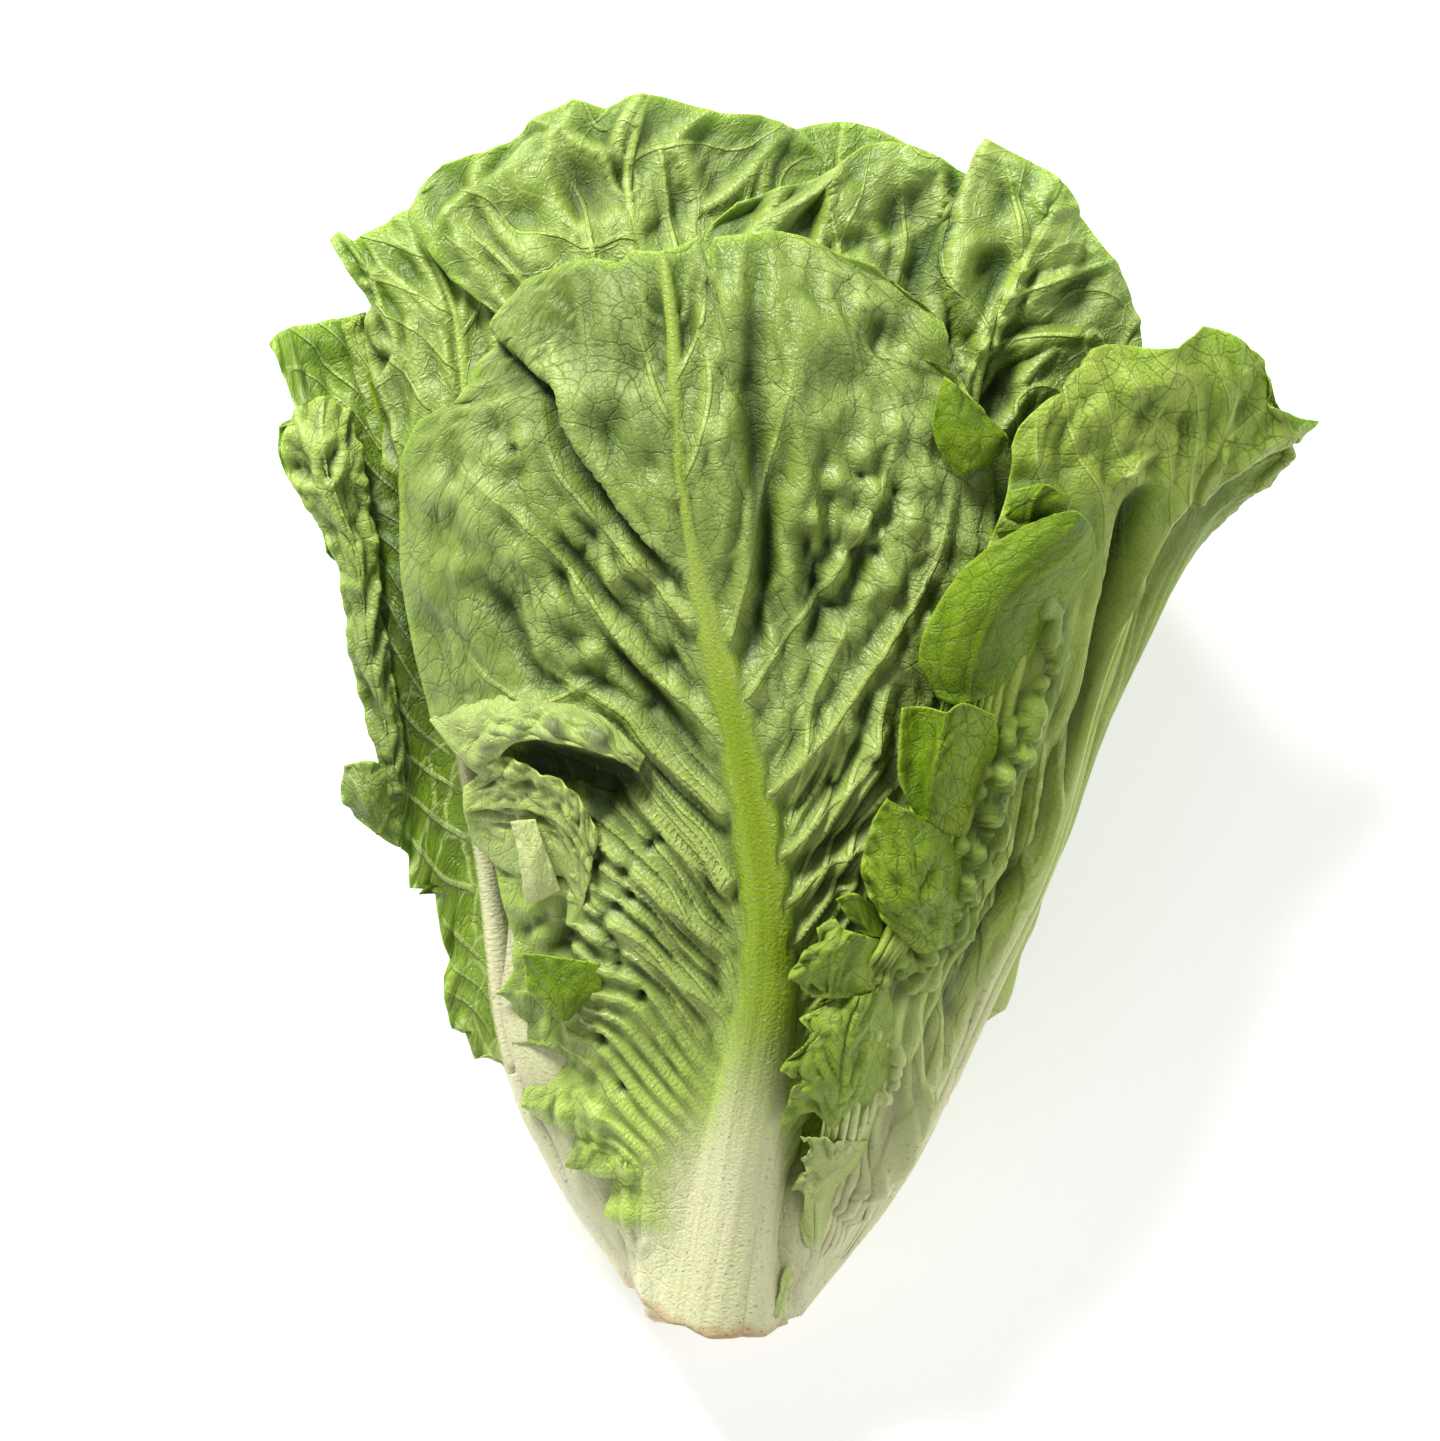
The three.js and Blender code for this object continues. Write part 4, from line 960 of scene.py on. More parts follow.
def front_leaf():
    def puff(x, y):
        return 0.55 + 0.9 * near(x, y, (16, 42), 15) + 0.3 * near(x, y, (-36, 30), 20) \
            + 0.4 * near(x, y, (-30, 85), 18) - 0.2 * near(x, y, (-76, 34), 20) \
            - 0.3 * herringbone(x, y) \
            - 0.15 * smooth(-60, -75, y)

    def herringbone(x, y):
        inner_line = -53 + 7 * smooth(-40, -85, y) + 14 * smooth(-85, -106, y)
        return smooth(8, -22, y) * smooth(-9, 8, x - inner_line) * smooth(-114, -98, y + 0.3 * x)

    def pale(x, y):
        beside = 1 - smooth(9, 21, np.abs(x + 13))
        return np.maximum(smooth(-80, -104, y) * beside, smooth(-108, -114, y))

    def rib_pale(x, y):
        return np.maximum(smooth(-58, -102, y), 0.12 * smooth(-5, 30, y))

    def young(x, y):
        low = smooth(-48, -84, y - 0.3 * (x + 25))
        return np.maximum(low, 0.5 * smooth(-44, -52, x) * smooth(-8, -20, y))

    blade = {
        "net": NETS["front_leaf"], "grid": (256, 150), "seed": 11,
        "rib": [14, 10, 7.6, 6, 5.0, 3.8, 1.8, 1.0, 0.7, 0.5], "rib_height": 0.6,
        "pale": pale, "rib_pale": rib_pale, "cut": 1.0,
        "young": young,
        # Painted shade: darker tissue in the cavity under the rolled lip, along creases and over the middle of
        # the upper blade.
        "painted_shades": [
            ([(-60, -7), (-54, -9), (-47, -11), (-40, -13), (-33, -11.5)], 6.0, 1.4),
            ([(-44, -13), (-42, -18), (-40, -22)], 4.5, 1.2),
            ([(-8.5, 92), (-8.5, 74), (-7.5, 57), (-7, 30)], 3.6, 0.62),
            ([(4.5, 32), (5, 24), (3.5, 16)], 2.5, 0.7),
            ([(-52, 40), (-46, 33), (-38, 23)], 2.4, 0.6),
            ([(-66, 31), (-61, 19), (-53, 7)], 2.6, 0.5),
            ([(-63, 82), (-57, 70), (-52, 60), (-47, 50), (-38, 38)], 6.5, 0.3),
            ([(-41, 100), (-40, 88), (-37, 68), (-33, 52)], 13.0, 0.3),
            ([(-38, 13), (-31, 4), (-24, -5)], 2.2, 0.5),
        ],
        "lean": 1.75, "bend": -0.014, "vein_gap": 5.6, "vein_width": 0.5, "vein_height": 0.9,
        "corrugation": 0.95, "stray": 0.7, "calm": 0.8,
        "auto_veins": herringbone, "dimples": ((9.5, 1.4, 2.1), (4.2, 1.3, 0.45)), "puff": puff,
        "crinkle": 0.15,
        "net_strength": lambda x, y: 1 - 0.8 * herringbone(x, y),
        "wave": 2.8, "ruffle": lambda x, y: 0.4 + 1.2 * smooth(-40, -20, x),
        "ruffle_run": 21, "base_thick": 3.0,
        "margins": [
            (0, 0, [(-33.5, -125), (-31.4, -128.5), (-29.3, -129.6), (-26, -132), (-22, -132.3),
                    (-17.7, -134.6), (-12, -134.2), (-7.4, -135), (-4.5, -133.9), (-2, -133.4)]),
            (1, 0, [(-33.5, -125), (-35, -118), (-37.5, -111), (-40.8, -108.4), (-39, -104),
                    (-38.5, -100), (-43, -97), (-49.8, -98.4), (-47.6, -94), (-49, -90.5),
                    (-54, -88.7), (-59.8, -85.2), (-58.5, -80), (-55.5, -78), (-54.5, -74),
                    (-57.5, -72), (-62, -72.5), (-60, -67), (-62, -63), (-65.8, -60.6),
                    (-61.5, -55), (-61, -48), (-63.5, -38), (-66, -28.5), (-68.5, -20),
                    (-71.5, -14.5), (-68, -11), (-73, -7), (-79, 0.5), (-80, 4), (-82.5, 17),
                    (-84.7, 35), (-85, 46.6), (-85, 55), (-80.6, 65), (-73, 68), (-68, 74),
                    (-68, 77), (-64, 82), (-64, 86), (-61, 91)]),
            (0, -1, [(-61, 91), (-57.6, 94.4), (-53, 96), (-48, 98), (-42.6, 99), (-38, 98),
                     (-35, 100.7), (-29, 100), (-25, 101), (-19.6, 104), (-18.6, 99), (-17, 103),
                     (-11, 103.6), (-2.4, 104.5), (10, 99.4), (18, 96.8), (22.5, 92.4)]),
            (1, -1, [(-2, -132), (-2, -106), (5, -84), (13, -58), (25, -28), (36, 2), (43, 30),
                     (42, 58), (41, 66), (36, 71), (32, 74), (33, 82), (32, 85), (28.6, 88),
                     (22.5, 92.4)]),
        ],
        "veins": [
            ([(-15.5, -4.9), (-19.6, 0.5), (-31.9, 11.7), (-41.3, 22.2), (-53.5, 38.5),
              (-68.8, 52.7), (-82, 60)], 1.15, 2.6),
            ([(-22.7, 20.8), (-34.9, 34.4), (-44.3, 45.3), (-52.2, 56.9), (-56, 76)], 1.0, 2.0),
            ([(-15.5, -19.5), (-21, -14.7), (-31.4, -5.6), (-36.9, 1.2), (-50.9, 9),
              (-66, 22)], 1.1, 2.4),
            ([(-13.5, -34), (-17, -28.7), (-26, -19), (-34.3, -10.4)], 1.1, 2.2),
            ([(-14.5, -35), (-18, -30.5), (-28, -21), (-38, -10)], 0.9, 1.6),
            ([(-11.5, -47), (-14, -38), (-22, -30), (-36, -15), (-42, -8)], 1.1, 2.2),
            ([(-12.5, -60), (-15, -50), (-28, -38), (-40, -27), (-45, -12)], 1.1, 2.0),
            ([(-13.5, -71), (-16, -63), (-32, -50), (-44, -38), (-52, -26)], 1.1, 1.7),
            ([(-13.8, 17.4), (-10, 32), (-7.2, 47.9), (-2.5, 66), (1.5, 88)], 1.2, 2.0),
            ([(-10, 5), (-2, 17), (8.1, 30.5), (19, 52.3), (24.4, 82)], 1.2, 2.0),
            ([(-5, -16), (8, -1), (19, 15.2), (29.9, 34.8), (36, 60)], 1.2, 2.0),
            ([(-3, -30), (7, -19), (15.7, -8.8), (19, 4), (24, 14)], 1.4, 2.8),
            ([(-1.5, -40), (6, -32), (14.6, -26.3), (24, -16)], 1.3, 2.6),
            ([(0.2, -48), (8, -38), (16.6, -32.9)], 1.0, 1.8),
            ([(-1, -22), (2, -8), (4, 5), (10, 17), (13, 24)], 0.9, 1.4),
            ([(-24.5, 60), (-31, 74), (-36, 92)], 0.9, 1.1),
            ([(-25.5, 72), (-20, 84), (-19, 95)], 0.8, 1.0),
            ([(-24.8, 48), (-20, 60), (-18, 72), (-20, 84)], 0.8, 1.2),
            ([(-44, 8), (-54, 4), (-66, 9), (-74, 20)], 0.7, 0.9),
        ],
        "folds": [
            ([(-8, 99), (-9, 74), (-8, 57), (-6, 43.6), (-6.8, 26), (-10, 16)], 3.0, -4.6),
            ([(-16, 92), (-16.5, 74), (-15.5, 55), (-14, 38)], 3.4, 2.4),
            ([(1, 90), (0.5, 70), (1.5, 52), (1, 34)], 3.6, 2.4),
            ([(-79, -1), (-65.7, 1.8), (-50.4, 2.6), (-41.3, -3), (-33.8, -7.5)], 3.0, 2.0),
            ([(-64, -9), (-57, -10), (-50, -12), (-42.1, -14), (-35, -14)], 4.2, -5.5),
            ([(-52, 39), (-46.1, 31.7), (-36, 21)], 2.2, -4.0),
            ([(-66, 30), (-60, 17), (-51.9, 5.6)], 3.0, -3.6),
            ([(-38, 14), (-30, 4), (-22, -6)], 2.0, -3.2),
            ([(2.5, 38), (5.5, 26), (3.5, 15)], 2.2, -4.5),
            ([(10, 22), (14, 32), (15, 40)], 2.0, -3.0),
            ([(-30, 40), (-38, 52), (-40, 64)], 2.6, -2.2),
            ([(4, -22), (12, -10), (16, 3)], 2.2, -2.8),
            ([(3, -34), (10, -26.5), (17, -20)], 2.0, -2.8),
            ([(-6, 8), (2, 24), (9, 36)], 1.8, -2.4),
        ],
        "pits": [
            (-40, -17, 1.6), (-36, -32, 1.8), (-38, -40, 1.5), (-43, -31, 1.3), (-31, -27, 1.2),
            (-46, -57, 1.6), (-38, -50, 1.3), (-33, -60, 1.1), (-42, -70, 1.4), (-37, -80, 1.1),
            (12.5, 36, 1.3), (8, 24, 1.5), (14, 52.5, 1.1), (17.5, 36.5, 1.3), (22, 49, 1.1),
            (7.5, 37.5, 1.2), (-40.8, -42.4, 1.5), (-39.8, -48, 1.3), (-38, -53.5, 1.1),
            (-35.2, -37.8, 1.3), (-28.8, -26, 1.1), (-32.5, -59, 1.1),
            (8, -14, 1.2), (17, -8, 1.1), (-46, 36, 1.5), (-31, 2, 1.3), (-60, 58, 1.3),
        ],
        "overlaps": [
            ([(-66, 86), (-57, 76), (-50.5, 70), (-48.5, 62.3), (-43.6, 54.5), (-34.2, 41.6),
              (-27, 34)], 2.4, -5.0, 5.5),
            ([(-45, -18), (-47, -30), (-49, -42), (-47, -54), (-41, -64)], 0.7, -0.9, 3.0),
        ],
        "lumps": [
            (-63, 62, 4.0, -2.6), (-57, 60, 3.0, 1.8), (-60, 53, 2.8, -2.2), (-66, 47, 4.0, 1.6),
            (-41, 60, 4.0, -2.2), (-31, 54, 3.6, -2.2), (-33, 66, 5, 1.8), (-48, 84, 6, -2.2),
            (-38, 90, 5, 1.6), (-28, 84, 4, -1.8), (-58, 36, 5, 2.0), (-43, 40, 3, -2.4),
            (-31, 28, 3.4, -2.4), (-36, 32, 2.6, 1.8), (-27, 12, 3, -2.4), (-44, 8, 4.5, -2.4),
            (6, 64, 4, 1.8), (13, 72, 4.4, -1.6), (21, 63, 4, 2.2), (8, 82, 5, 2.2),
            (22, 76, 4.4, 2.2), (14, 57, 3, 2.2), (8, 51, 2.6, 2.6), (17, 49, 2.8, 2.4),
            (3.4, 43, 2.5, 2.6), (11.6, 42, 2.8, 2.9), (24, 43, 2.8, 2.2), (5.5, 31, 2.0, 2.0),
            (28, 52, 3.2, 1.8), (30, 63, 4, 1.8), (20.5, 30, 2.6, 2.6), (15.5, 27, 2.2, 2.0),
            (10, 18, 2.4, 1.8), (29, 20, 3.6, 1.7), (20, 14, 2.6, 1.8), (12.5, -2, 2.6, 2.2),
            (16.5, -6, 2.2, 1.6), (-44, 14, 3, 2.0), (-70, 20, 6, 1.2),
            (-40, 84, 4.5, 2.2), (-33, 76, 3.5, -2.2), (-45, 69, 4, 2.2), (-37, 65, 3.5, -1.8),
            (-78, 50, 4, 1.9), (-74, 41, 4, -1.9), (-79, 30, 5, 1.6), (-70, 33, 3.5, 1.7),
            (-76, 20, 5, -1.6), (-66, 42, 4, 1.8), (-72, 55, 3, -1.7), (-52, 24, 4, 1.9),
            (-47, 17, 3.4, -1.9), (-56, 14, 4, 1.7), (-62, 24, 3.5, -1.5), (-40, 30, 3, 1.7),
            (-50, 30, 3, -1.6), (14, 88, 4.5, 2.0), (20, 84, 4, -1.7), (27, 80, 4, 1.7),
            (2, 92, 4, -1.5), (-14, 86, 5, 1.9), (-12, 72, 4, -1.7), (-17, 62, 3.5, 1.9),
            (-57, -41, 2.0, 1.8), (-54.5, -43.5, 1.8, -1.6), (-52, -41, 2.0, 1.8),
            (-55, -47, 2.0, 1.6), (-51, -49, 1.8, -1.4), (-58, -46, 1.7, -1.3),
            (-61, -40, 1.7, 1.1), (-62, -33, 1.8, -1.1), (-65, -28, 1.8, 1.1),
            (-60, -52, 1.9, 1.3), (-56, -55, 2.0, -1.3), (-59, -62, 2.0, 1.2),
            (-54, -68, 2.0, 1.4), (-57, -80, 2.0, 1.1), (-50, -86, 2.0, 1.2),
            (-45, -94, 2.0, 1.1), (-41, -100, 1.8, 1.0),
            (-46, -18, 2.2, 1.6), (-48, -22.5, 1.8, -1.4), (-46.5, -27, 2.2, 1.8),
            (-49, -31, 1.8, -1.5), (-49, -35, 2.4, 2.0), (-46.5, -38.5, 1.8, -1.4),
            (-47, -42, 2.4, 2.0), (-44, -46.5, 2.2, 1.6), (-48.5, -47.5, 1.8, -1.2),
            (-52, -33, 2.2, -1.6), (-53, -45, 2.4, 1.2), (-51, -57, 2.4, 1.4),
            (-45, -60, 2.2, 1.6), (-48, -68, 2.4, 1.4), (-44, -74, 2.2, 1.5),
            (-50, -79, 2.4, 1.2), (-43, -86, 2.2, 1.4),
        ],
    }
    turned_edge = {
        "net": [
            [(35.4, 51.8, 99), (37.5, 53.6, 100), (42.5, 55.3, 95)],
            [(31, 57.7, 101), (37.5, 58.8, 102), (45.8, 59.7, 96)],
            [(29.5, 64.3, 102), (35.4, 64.3, 103), (42.4, 64.3, 98)],
            [(32.1, 73.5, 102), (34.3, 71.9, 102.5), (36.9, 69.7, 100)],
        ],
        "grid": (40, 28), "seed": 23, "auto_veins": 0.0, "puff": 0.25,
        "wave": 0.5, "ruffle": 0.6, "ruffle_run": 9, "vivid": 0.7, "base_thick": 0, "skin": 1,
    }
    pale_tab = flap("front_leaf", [
        [(-58.2, -40.2, 1.0), (-54.8, -39, 2.5), (-50.6, -37, 0.5)],
        [(-58.8, -35, 3.5), (-55.6, -34.6, 5), (-51.6, -34, 1.5)],
        [(-59.8, -28.8, 4.5), (-57, -28.4, 6), (-53.6, -28.4, 2.5)],
        [(-61.4, -22.2, 4), (-58.8, -21.7, 5), (-55.9, -21.7, 3.5)],
    ], 29, grid=(36, 22), vivid=0.0, young=1.0, pale=0.5, ruffle=0.3, puff=0.3, held=0)
    low_lobe = flap("front_leaf", [
        [(-52.5, -64.5, 3.0), (-49.5, -65.5, 3.5), (-46.5, -62.5, 1.0)],
        [(-57.5, -58.5, 3.5), (-50, -59.5, 4.5), (-42, -59, -0.5)],
        [(-59, -50.6, 3.0), (-51, -51.5, 4.0), (-42, -53, -0.5)],
    ], 31, grid=(36, 32), vivid=0.7, ruffle=0.7, ruffle_run=7, puff=0.3)
    rolled_lip = flap("front_leaf", [
        [(-66.4, -13.2, 2.0), (-72.5, -8, 3.2), (-79, 0, -0.8)],
        [(-63.8, -8.5, 5), (-69, -3.5, 5), (-74.5, 3.5, -1.6)],
        [(-60.5, -5.2, 6), (-63.5, -0.6, 5.2), (-66, 6, -2.4)],
        [(-55.3, -4.0, 6.5), (-57.2, 0.2, 5.4), (-57.5, 6.8, -2.4)],
        [(-51.5, -4.8, 6.5), (-51.5, -0.6, 5.2), (-50, 4.8, -2.4)],
        [(-44.7, -6.2, 6), (-43.8, -2.8, 4.6), (-42, 1.2, -2.0)],
        [(-38.5, -9, 4.5), (-38, -7, 3.4), (-36, -4, -1.4)],
        [(-33.5, -10.5, 1.5), (-33, -9.5, 1.2), (-32, -8, -0.8)],
    ], 37, grid=(100, 30), skin=0, vivid=0.0, young=0.55, pale=0.15, ruffle=1.0,
        ruffle_run=9, puff=1.0,
        dimples=((6.0, 1.2, 1.1),), wave=1.2, crinkle=0.5, held=1, lumps=[
            (-70, -4, 2.4, 1.4), (-66, -5, 1.8, -1.4), (-62, 0, 2.4, 1.5), (-59, -2, 1.6, -1.5),
            (-55, 1, 2.4, 1.5), (-51, -2, 1.8, -1.2), (-47, -1, 2.2, 1.4), (-42, -4, 1.6, -1.2),
            (-68, -9.5, 1.6, -1.2), (-74, 0, 2.2, -1.0)])
    torn_top = flap("front_leaf", [
        [(-69.5, -27, -0.6), (-71.5, -20, 2), (-71.5, -14.5, 2.5)],
        [(-64, -32, -0.8), (-65.5, -19, 2.6), (-66, -9.6, 4)],
        [(-59, -34, -0.8), (-60, -19, 3.2), (-61.5, -8.3, 4.5)],
        [(-54, -34, -0.8), (-55, -20, 3.4), (-56.5, -10.5, 4.5)],
        [(-50, -34, -0.8), (-50.5, -22.5, 3.2), (-50, -13.5, 4)],
        [(-48, -37, -0.8), (-47, -27, 2.6), (-45.5, -18.5, 3)],
        [(-46, -42, -0.8), (-44, -33, 2), (-42, -25, 0.5)],
    ], 39, grid=(84, 30), skin=0, vivid=0.0, young=0.8, ruffle=1.2, ruffle_run=6, puff=1.0,
        dimples=((4.5, 1.2, 1.2),), outward=-1, wave=1.4, pale=0.12, crinkle=0.8, held=-1,
        lumps=[(-66, -14, 2, -1.2), (-62, -11.5, 1.6, 1.4), (-58, -15, 2, -1.4),
               (-54, -12.5, 1.5, 1.4), (-50, -18, 1.8, -1.2), (-47.5, -21, 1.4, 1.3)])
    stub = flap("front_leaf", [
        [(-4.4, -131.6, 0.3), (-3.8, -131.9, 0.7), (-3.2, -131.6, 0.2)],
        [(-4.1, -129, 0.4), (-3, -129.4, 1.2), (-1.4, -128.8, 0.3)],
        [(-2.9, -126, 0.4), (-2.2, -126.4, 1.2), (-1.6, -126, 0.3)],
        [(-2.6, -123.4, 0.4), (-1.4, -123.6, 1.1), (0.3, -122.8, 0.3)],
        [(-1.6, -120.8, 0.3), (-1, -120.4, 0.6), (-0.4, -120.8, 0.2)],
    ], 33, grid=(20, 8), vivid=0.0, young=1.0, pale=0.3, ruffle=0.3, ruffle_run=4,
        puff=0.2, thick=0.5)
    piece = leaf_object("front_leaf_detail",
                        [blade, turned_edge, pale_tab, low_lobe, rolled_lip, torn_top, stub],
                        [OUTER_SKIN, FRILL_SKIN])
    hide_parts("front_leaf")


def left_outer_leaf():
    def rib_pale(x, y):
        return smooth(22, -8, y)

    blade = {
        "net": NETS["left_outer_leaf"], "grid": (240, 116), "seed": 41, "outward": -1,
        "rib": [9, 7, 5.5, 4.2, 3.6, 3.4, 2.6, 1.6, 1, 0.5], "rib_height": 0.5, "rib_back": 1.0,
        "pale": lambda x, y: smooth(-70, -84, y), "rib_pale": rib_pale, "cut": 1.0,
        "lean": 1.6, "bend": -0.01, "stray": 0.6, "vein_gap": 11.0, "vein_width": 0.6,
        "vein_height": -0.5,
        "corrugation": -0.7, "dimples": ((8.0, 1.5, 1.2),), "wave": 1.6, "ruffle": 2.0,
        "ruffle_run": 14, "crinkle": 0.4,
        "puff": 0.3,
        "vivid": lambda x, y: 0.92 - 0.5 * smooth(58, 72, y),
        "young": lambda x, y: 0.25 * smooth(58, 72, y) + 0.3 * smooth(-30, -60, y),
        # Painted shade: darker tissue along the inner face beside the rib.
        "painted_shades": [([(-92, 60), (-88, 40), (-86, 24), (-82, 6), (-78, -8)], 7.0, 0.4)],
        "margins": [
            (1, 0, [(-28, -124), (-37, -104), (-50, -85), (-59, -76.5), (-64, -75), (-69.6, -74.3),
                    (-70.5, -72), (-71.6, -68.6), (-75, -68.2), (-76.8, -56.6), (-75.5, -53),
                    (-77.5, -45.5), (-78.8, -37.7), (-76, -36.2), (-80, -36), (-82, -38.4),
                    (-84, -37.2), (-84.5, -30), (-86, -28.5), (-88.4, -16), (-87.5, -13),
                    (-91.5, -2), (-94, 8), (-95.8, 13), (-97.4, 25), (-97.4, 32.6), (-101, 36),
                    (-102, 41), (-106, 48), (-108, 50), (-111, 57.7), (-110.7, 62.3),
                    (-105.4, 64.3), (-109.8, 74), (-113.5, 81)]),
            (0, -1, [(-113.5, 82), (-112, 84), (-108, 86), (-103, 86.5), (-98.5, 85.8),
                     (-97, 88), (-93, 89)]),
        ],
        "folds": [
            ([(-105, 80), (-100, 76), (-98, 70)], 3.0, 4.0),
            ([(-99, 60), (-93, 40), (-89, 20)], 3.0, 3.0),
            ([(-90, 52), (-86, 34), (-84, 14), (-80, -6)], 3.5, -3.0),
        ],
    }
    curl = {
        "net": [
            [(-86, -28, 53), (-91, -25, 56), (-96, -21, 55)],
            [(-85, -20, 54), (-93, -18, 60), (-99, -16, 57)],
            [(-85, -12, 55), (-92, -9, 60), (-98, -10, 59)],
        ],
        "grid": (24, 24), "seed": 43, "outward": -1, "auto_veins": 0.3, "puff": 0.5,
        "wave": 0.8, "ruffle": 1.4, "ruffle_run": 8, "vivid": 0.2, "base_thick": 0,
    }
    folded_back = flap("left_outer_leaf", [
        [(-88.4, -17, 2), (-86, -16, 3), (-84.5, -17, 1)],
        [(-92, -4, 2), (-88.5, -3, 4), (-85, -4, 1.5)],
        [(-95.5, 10, 2), (-91.5, 11, 4.5), (-87, 9, 2)],
        [(-97.5, 24, 2), (-93.5, 26, 5), (-89.5, 25, 2.5)],
        [(-100, 35, 2), (-95, 37, 6), (-90, 36, 3)],
        [(-106, 46, 2), (-99, 48, 7), (-91, 45, 3.5)],
        [(-111, 58, 2), (-102, 59, 7), (-93, 56, 3.5)],
        [(-108, 68, 1), (-102, 70, 4), (-95, 67, 2)],
    ], 45, grid=(110, 34), skin=0, held=0, vivid=0.0, young=lambda x, y: 0.5 * smooth(15, 45, y),
        ruffle=1.4, ruffle_run=11, puff=1.2, dimples=((11.0, 1.1, 1.8), (4.5, 1.1, 0.4)),
        wave=1.8, net_strength=1.0)
    pale_flank = {
        "net": [
            [(-36, -124, 20), (-35.4, -124.5, 25.5), (-33.5, -126, 30), (-30.5, -127.5, 33),
             (-26, -128.5, 34)],
            [(-42.3, -117, 22.5), (-41, -117, 28), (-38.5, -117, 32.5), (-35, -117, 35),
             (-29, -117, 37)],
            [(-50.8, -105, 26), (-49.3, -105, 31.5), (-46.5, -105, 36), (-42, -105, 39.5),
             (-35, -105, 40.5)],
            [(-58.5, -90, 32), (-56.5, -90, 37.5), (-53, -90, 41.5), (-47.5, -90, 44),
             (-40, -90, 45.5)],
            [(-64, -75, 38.5), (-62.6, -75, 44), (-59.5, -75, 47.5), (-54, -75, 49.5),
             (-47, -75, 50.5)],
            [(-67.3, -60, 44.5), (-66, -60, 48.3), (-63, -60, 50.2), (-59, -60, 50.8),
             (-53, -60, 51)],
            [(-68.5, -42, 46), (-67.5, -42, 49), (-65.8, -42, 50.4), (-64, -42, 50.2),
             (-61, -42, 49)],
        ],
        "grid": (80, 26), "seed": 47, "auto_veins": 0.0, "puff": 0.1, "wave": 0.4,
        "ruffle": 0.1, "base_thick": 0.3, "crinkle": 0.15, "net_strength": 0.1, "cut": 1.0,
        "pale": 0.97,
    }
    piece = leaf_object("left_outer_leaf_detail", [blade, curl, folded_back, pale_flank],
                        [OUTER_SKIN])
    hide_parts("left_outer_leaf")


def flap(ground, rows, seed, grid=(50, 34), **changes):
    """A torn or frilled piece of margin that stands off the blade it grows from."""
    plate = {
        "net": lay_on(NETS[ground], rows), "grid": grid, "seed": seed, "auto_veins": 0.0,
        "held": 1,
        "dimples": ((6.0, 1.3, 0.7),), "puff": 0.6, "wave": 0.6, "ruffle": 0.7,
        "ruffle_run": 8, "vivid": 0.3, "base_thick": 0, "thick": 0.8, "skin": 1,
        "rim_from": 0.9,
    }
    plate.update(changes)
    return plate


